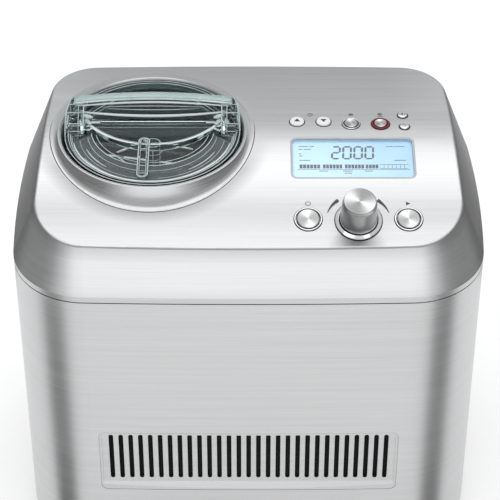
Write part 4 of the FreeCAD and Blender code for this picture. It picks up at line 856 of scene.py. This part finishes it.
# painted highlights: the two brightest lines across the bar's front
bw = [tube(line3(lambda x: (AX + x, Y0 - 0.1, crown(x, 3.7 + 0.3 * (1 - (x / 62.0) ** 2))), -62.0, 62.0), taper(41, 0.95)),
      tube(line3(lambda x: (AX + x, Y0 - 0.3, 350.4 + 4.4 * (x / 60.0) ** 2), -59.5, 59.5), taper(41, 1.25))]
beads.append(tube(line3(lambda x: (AX + x, Y0 - 0.1, 356.4 + 1.3 * (x / 40.0) ** 2), -38.0, 38.0), taper(41, 0.42, 0.1)))
beads.append(tube(line3(lambda x: (AX + x, Y0 - 0.1, 360.2 - 1.4 * (x / 44.0) ** 2), -43.0, 43.0), taper(41, 0.42, 0.1)))
beads.append(tube(line3(lambda x: (AX + x, Y0 - 0.1, 346.2 - 0.6 * (1 - (x / 55.0) ** 2)), -54.0, 54.0), taper(41, 0.3)))
make("lid_bar_edges", *join(beads), EDGE_PAINTED_HIGHLIGHT, "lid", "clear_lid")
make("lid_bar_bright", *join(bw), BRIGHT_PAINTED_HIGHLIGHT, "lid", "clear_lid")

# satin top of the bar
v, f = [], []
NB = 60
for i in range(NB + 1):
    x = -64.0 + 128.0 * i / NB
    for y, dz in ((Y0 + 1.0, 0.55), (Y0 + 1.2, 0.18), (Y1 - 1.2, 0.18), (Y1 - 1.0, 0.55)):
        v.append((AX + x, y, crown(x, dz - 0.16)))
for i in range(NB):
    for q in range(4):
        p = (q + 1) % 4
        f.append((4 * i + q, 4 * i + 4 + q, 4 * i + 4 + p, 4 * i + p))
f += [(0, 1, 2, 3), (4 * NB + 3, 4 * NB + 2, 4 * NB + 1, 4 * NB)]
make("lid_bar_top", v, f, SATIN, "lid", "clear_lid")

# cheeks beside the bar: outline beads on both faces
prof = [(1.5, 342.0), (1.5, 347.0), (5.0, 352.0), (12.0, 358.0), (18.6, 361.6), (27.0, 362.4), (29.5, 361.0), (31.0, 357.0), (31.5, 343.0)]
cb = []
for sx in (-1, 1):
    for xx, r in ((56.0, 0.55), (60.2, 0.35)):
        cb.append(tube([(AX + sx * xx, AY + y, z) for y, z in prof], r))
    for y, z in prof[1:8]:
        xo = math.sqrt(71.0 ** 2 - y * y)
        cb.append(tube([(AX + sx * 56.2, AY + y, z), (AX + sx * xo, AY + y, z)], 0.42))
    cb.append(tube([(AX + sx * math.sqrt(70.9 ** 2 - y * y), AY + y, z) for y, z in prof], 0.45))
    cb.append(tube([(AX + sx * 56.0, AY + 1.6, 344.0), (AX + sx * 69.6, AY + 1.6, 344.0)], 0.5))
    cb.append(tube([(AX + sx * 56.0, AY + 10.0, 346.5), (AX + sx * 70.0, AY + 10.0, 346.5)], 0.45))
make("lid_cheek_edges", *join(cb), EDGE_PAINTED_HIGHLIGHT, "lid", "clear_lid")

# ring of the lid: stepped polished lines
rb_ = []
rb_.append(tube(arc3(70.55, 0, 360, 348.35, 160), 0.38))
rb_.append(tube(arc3(67.95, -180, 0, 348.3, 90), 0.34))
rb_.append(tube(arc3(62.0, 20, 160, 342.4, 60), 0.4))
rb_.append(tube(arc3(67.9, 30, 150, 348.3, 60), 0.34))
make("lid_ring_edges", *join(rb_), EDGE_PAINTED_HIGHLIGHT, "lid", "clear_lid")

# hatch: arc-shaped rim at its back, concentric rims and pull rib
hb = []
n_ = 60
R_S, C_S = 63.3, 49.1
sm_path = arc3(R_S, 217.0, 323.0, 345.6, n_, 0.0, C_S)
# painted highlight along the hatch's arc
make("hatch_arc", *tube(sm_path, [1.65 - 0.95 * math.sin(math.pi * i / n_) ** 0.7 for i in range(n_ + 1)], 10, 0.6), BRIGHT_PAINTED_HIGHLIGHT, "hatch", "clear_lid")
sm2 = arc3(R_S - 2.0, 221.0, 319.0, 345.3, n_, 0.0, C_S)
hb.append(tube(sm2, 0.26))
# painted highlights at the ends of the arc and beside the bar
se = [tube(arc3(R_S, a0_, a1_, 347.0, 8, 0.0, C_S), [1.5, 1.6, 1.7, 1.8, 1.9, 1.9, 1.9, 1.7, 1.3], 10, 0.6) for a0_, a1_ in ((216.6, 209.6), (323.4, 330.4))]
for sx in (-1, 1):
    se.append(tube([(AX + sx * (57.0 - t * 1.1), Y0 - 0.6, 351.4 - 0.36 * t) for t in range(8)], [1.2, 1.7, 1.9, 2.0, 1.9, 1.7, 1.4, 0.9], 10, 0.9))
make("lid_arc_ends", *join(se), BRIGHT_PAINTED_HIGHLIGHT, "lid", "clear_lid")
hb.append(tube(arc3(66.2, -178, -2, 346.6, 90), 0.5))
hb.append(tube(arc3(65.0, -176, -4, 346.6, 90), 0.3))
hb.append(tube(arc3(50.0, -172, -8, 345.6, 80, 0.0, 7.4), 0.45))
hb.append(tube(arc3(46.4, -168, -12, 345.3, 80, 0.0, 8.2), 0.30))
hb.append(tube(arc3(52.6, -172, -8, 345.9, 80, 0.0, 2.6), 0.26))
hb.append(tube(arc3(58.8, -172, -96, 345.1, 50), 0.26))
hb.append(tube(arc3(58.8, -84, -8, 345.1, 50), 0.26))
for r_, a0_, a1_ in ((55.8, -160, -128), (55.8, -58, -24), (62.0, -150, -110), (62.0, -72, -34)):
    hb.append(tube(arc3(r_, a0_, a1_, 345.1, 30), taper(31, 0.7, 0.2), 8, 0.5))
rib_pts = [(-6.0 + x, -36.0 + y) for x, y in rrect_pts(8.2, 51.0, 3.9, 6)]
rib_pts = [(x, y) for x, y in rib_pts]
loop = [(AX + x, AY + y, 349.1) for x, y in rib_pts]
hb.append(tube(loop + [loop[0]], 0.55))
loop2 = [(AX + -6.0 + x, AY - 36.0 + y, 349.0) for x, y in rrect_pts(5.2, 48.6, 2.4, 6)]
hb.append(tube(loop2 + [loop2[0]], 0.3))
for y in (-20.0, -52.0):
    hb.append(tube([(AX - 8.6, AY + y, 345.4), (AX - 3.4, AY + y, 345.4)], 0.7, 8, 0.7))
make("hatch_edges", *join(hb), EDGE_PAINTED_HIGHLIGHT, "hatch", "clear_lid")
# painted highlight along the hatch's front arc
hw = [tube(arc3(64.2, -168, -12, 346.5, 90), taper(91, 0.75, 0.3), 8, 0.7)]
make("hatch_front_arc", *join(hw), BRIGHT_PAINTED_HIGHLIGHT, "hatch", "clear_lid")
# frosted crescent moulded into the front of the hatch
fr = Mat("hatch_frosted")
_co = fr.coords()
_f = fr.noise(_co, 120.0, 4.0, 0.6)
fr.set(Base_Color=fr.ramp(_f, [(0.3, (0.28, 0.33, 0.33)), (0.7, (0.42, 0.47, 0.47))]), Roughness=fr.remap(_f, 0.3, 0.7, 0.12, 0.25))
fr.b.inputs["Transmission Weight"].default_value = 0.72
fr.b.inputs["IOR"].default_value = 1.3
v, f = [], []
NC = 90
for i in range(NC + 1):
    a = math.radians(-171.0 + 162.0 * i / NC)
    c, q = math.cos(a), math.sin(a)
    for x, y, z in ((50.5 * c, 7.4 + 50.5 * q, 345.0), (63.4 * c, 63.4 * q, 345.0), (63.4 * c, 63.4 * q, 345.22), (50.5 * c, 7.4 + 50.5 * q, 345.22)):
        v.append((AX + x, AY + y, z))
for i in range(NC):
    for k in range(4):
        f.append((4 * i + k, 4 * i + 4 + k, 4 * i + 4 + (k + 1) % 4, 4 * i + (k + 1) % 4))
f += [(0, 1, 2, 3), (4 * NC + 3, 4 * NC + 2, 4 * NC + 1, 4 * NC)]
make("hatch_frosted_band", v, f, fr.m, "hatch", "clear_lid", smooth=False)

# paddle seen through the lid: head of the mast and its two short arms, as beads coloured as painted highlights
pe = [tube(arc3(6.1, 0, 360, 334.3, 40), 0.5), tube(arc3(6.3, 0, 360, 322.0, 40), 0.35)]
for a in (-150, -30, -90):
    c, q = math.cos(math.radians(a)), math.sin(math.radians(a))
    pe.append(tube([(AX + 6.3 * c, AY + 6.3 * q, 334.0), (AX + 6.3 * c, AY + 6.3 * q, 306.0)], 0.4))
for pts in (((5.6, 2.4), (12.0, 1.6), (22.0, -1.2), (32.7, -4.8)), ((-5.6, 2.4), (-11.3, 1.4), (-20.0, -3.0), (-28.7, -8.9))):
    pe.append(tube([(AX + x, AY + y, 332.6) for x, y in pts], [0.8, 1.0, 1.25, 0.9], 8, 0.8))
make("paddle_head_edges", *join(pe), BRIGHT_PAINTED_HIGHLIGHT, "paddle", "paddle_plastic")

# ---------------------------------------------------------------- room: floor, soft lights, cards seen only in reflections
fm = Mat("floor_white")
fco = fm.coords()
ff = fm.noise(fco, 2.0, 2.0)
fcol = fm.ramp(ff, [(0.3, g3(0.62)), (0.7, g3(0.64))])
fm.set(Base_Color=fcol, Roughness=0.9)
fm.put(fm.b.inputs["Emission Color"], fcol)
fm.b.inputs["Emission Strength"].default_value = 0.74
fm.b.inputs["Specular IOR Level"].default_value = 0.1
S = 6000.0
floor = make("floor", [(-S, -S, 0), (S, -S, 0), (S, S, 0), (-S, S, 0)], [(0, 1, 2, 3)], fm.m, stage=True, smooth=False)

world = bpy.data.worlds.new("studio")
bpy.context.scene.world = world
world.use_nodes = True
wt = world.node_tree
wt.nodes.clear()
wo = wt.nodes.new("ShaderNodeOutputWorld")
bg = wt.nodes.new("ShaderNodeBackground")
bg.inputs["Color"].default_value = (0.98, 0.99, 1.0, 1.0)
bg.inputs["Strength"].default_value = 0.66
wt.links.new(bg.outputs[0], wo.inputs["Surface"])


def softbox(name, loc, target, w, h, radiance):
    d = bpy.data.lights.new(name, "AREA")
    d.shape = "RECTANGLE"
    d.size, d.size_y = w, h
    d.energy = radiance * math.pi * w * h
    ob = bpy.data.objects.new(name, d)
    ob.location = loc
    ob.rotation_euler = (Vector(target) - Vector(loc)).to_track_quat("-Z", "Y").to_euler()
    coll.objects.link(ob)
    return ob


softbox("top_box", (0.0, -0.35, 2.3), (0.0, -0.1, 0.0), 2.4, 2.0, 1.04)
softbox("back_box", (0.0, 1.66, 2.80), (0.0, 0.0, 0.35), 3.4, 1.15, 1.12)
softbox("front_box", (0.0, -3.0, 0.55), (0.0, 0.0, 0.3), 3.4, 0.9, 0.82)


def card(name, pts, shade):
    m = Mat(name + "_paper")
    co = m.coords()
    f = m.noise(co, 8.0, 2.0)
    m.set(Base_Color=m.ramp(f, [(0.3, g3(shade)), (0.7, g3(shade * 1.1))]), Roughness=0.95)
    ob = make(name, pts, [(0, 1, 2, 3)], m.m, stage=True, smooth=False)
    ob.visible_camera = False
    ob.visible_diffuse = False
    ob.visible_shadow = False
    ob.visible_transmission = False
    ob.visible_volume_scatter = False
    return ob


for s in (-1, 1):
    tag = "left" if s < 0 else "right"
    # upright card well outside the view, beside and behind
    card("card_side_" + tag, [(s * 900, -840, 0), (s * 900, 1500, 0), (s * 900, 1500, 900), (s * 900, -840, 900)], 0.27)
    # low cards on the floor: front corner and rear flank
    card("card_corner_" + tag, [(s * 149, -124, 3), (s * 440, -470, 3), (s * 607, -215, 3), (s * 166, -113, 3)], 0.20)
    card("card_flank_" + tag, [(s * 360, 180, 3), (s * 360, 1200, 3), (s * 1000, 1200, 3), (s * 1000, 180, 3)], 0.12)

# ---------------------------------------------------------------- camera
cd = bpy.data.cameras.new("camera")
cd.sensor_width = 36.0
cd.lens = 145.8
cam = bpy.data.objects.new("camera", cd)
cam.location = (0.00113, -1.31598, 1.3156)
cam.rotation_euler = (math.radians(50.5), 0.0, 0.0)
cd.clip_start = 0.05
cd.clip_end = 60.0
coll.objects.link(cam)
bpy.context.scene.camera = cam
bpy.context.scene.view_settings.view_transform = "Standard"
bpy.context.scene.view_settings.look = "None"

for name in ("lid_frame", "lid_hatch", "hatch_pins", "mixing_paddle", "display_window"):
    NODES[name].visible_shadow = False
for name in ("lid_frame", "lid_hatch"):
    w = NODES[name].modifiers.new("weld", "WELD")
    w.merge_threshold = 0.00002
    bv = NODES[name].modifiers.new("round", "BEVEL")
    bv.width = 0.00035
    bv.segments = 2
    bv.limit_method = "ANGLE"
    bv.angle_limit = math.radians(40)
    bv.harden_normals = True
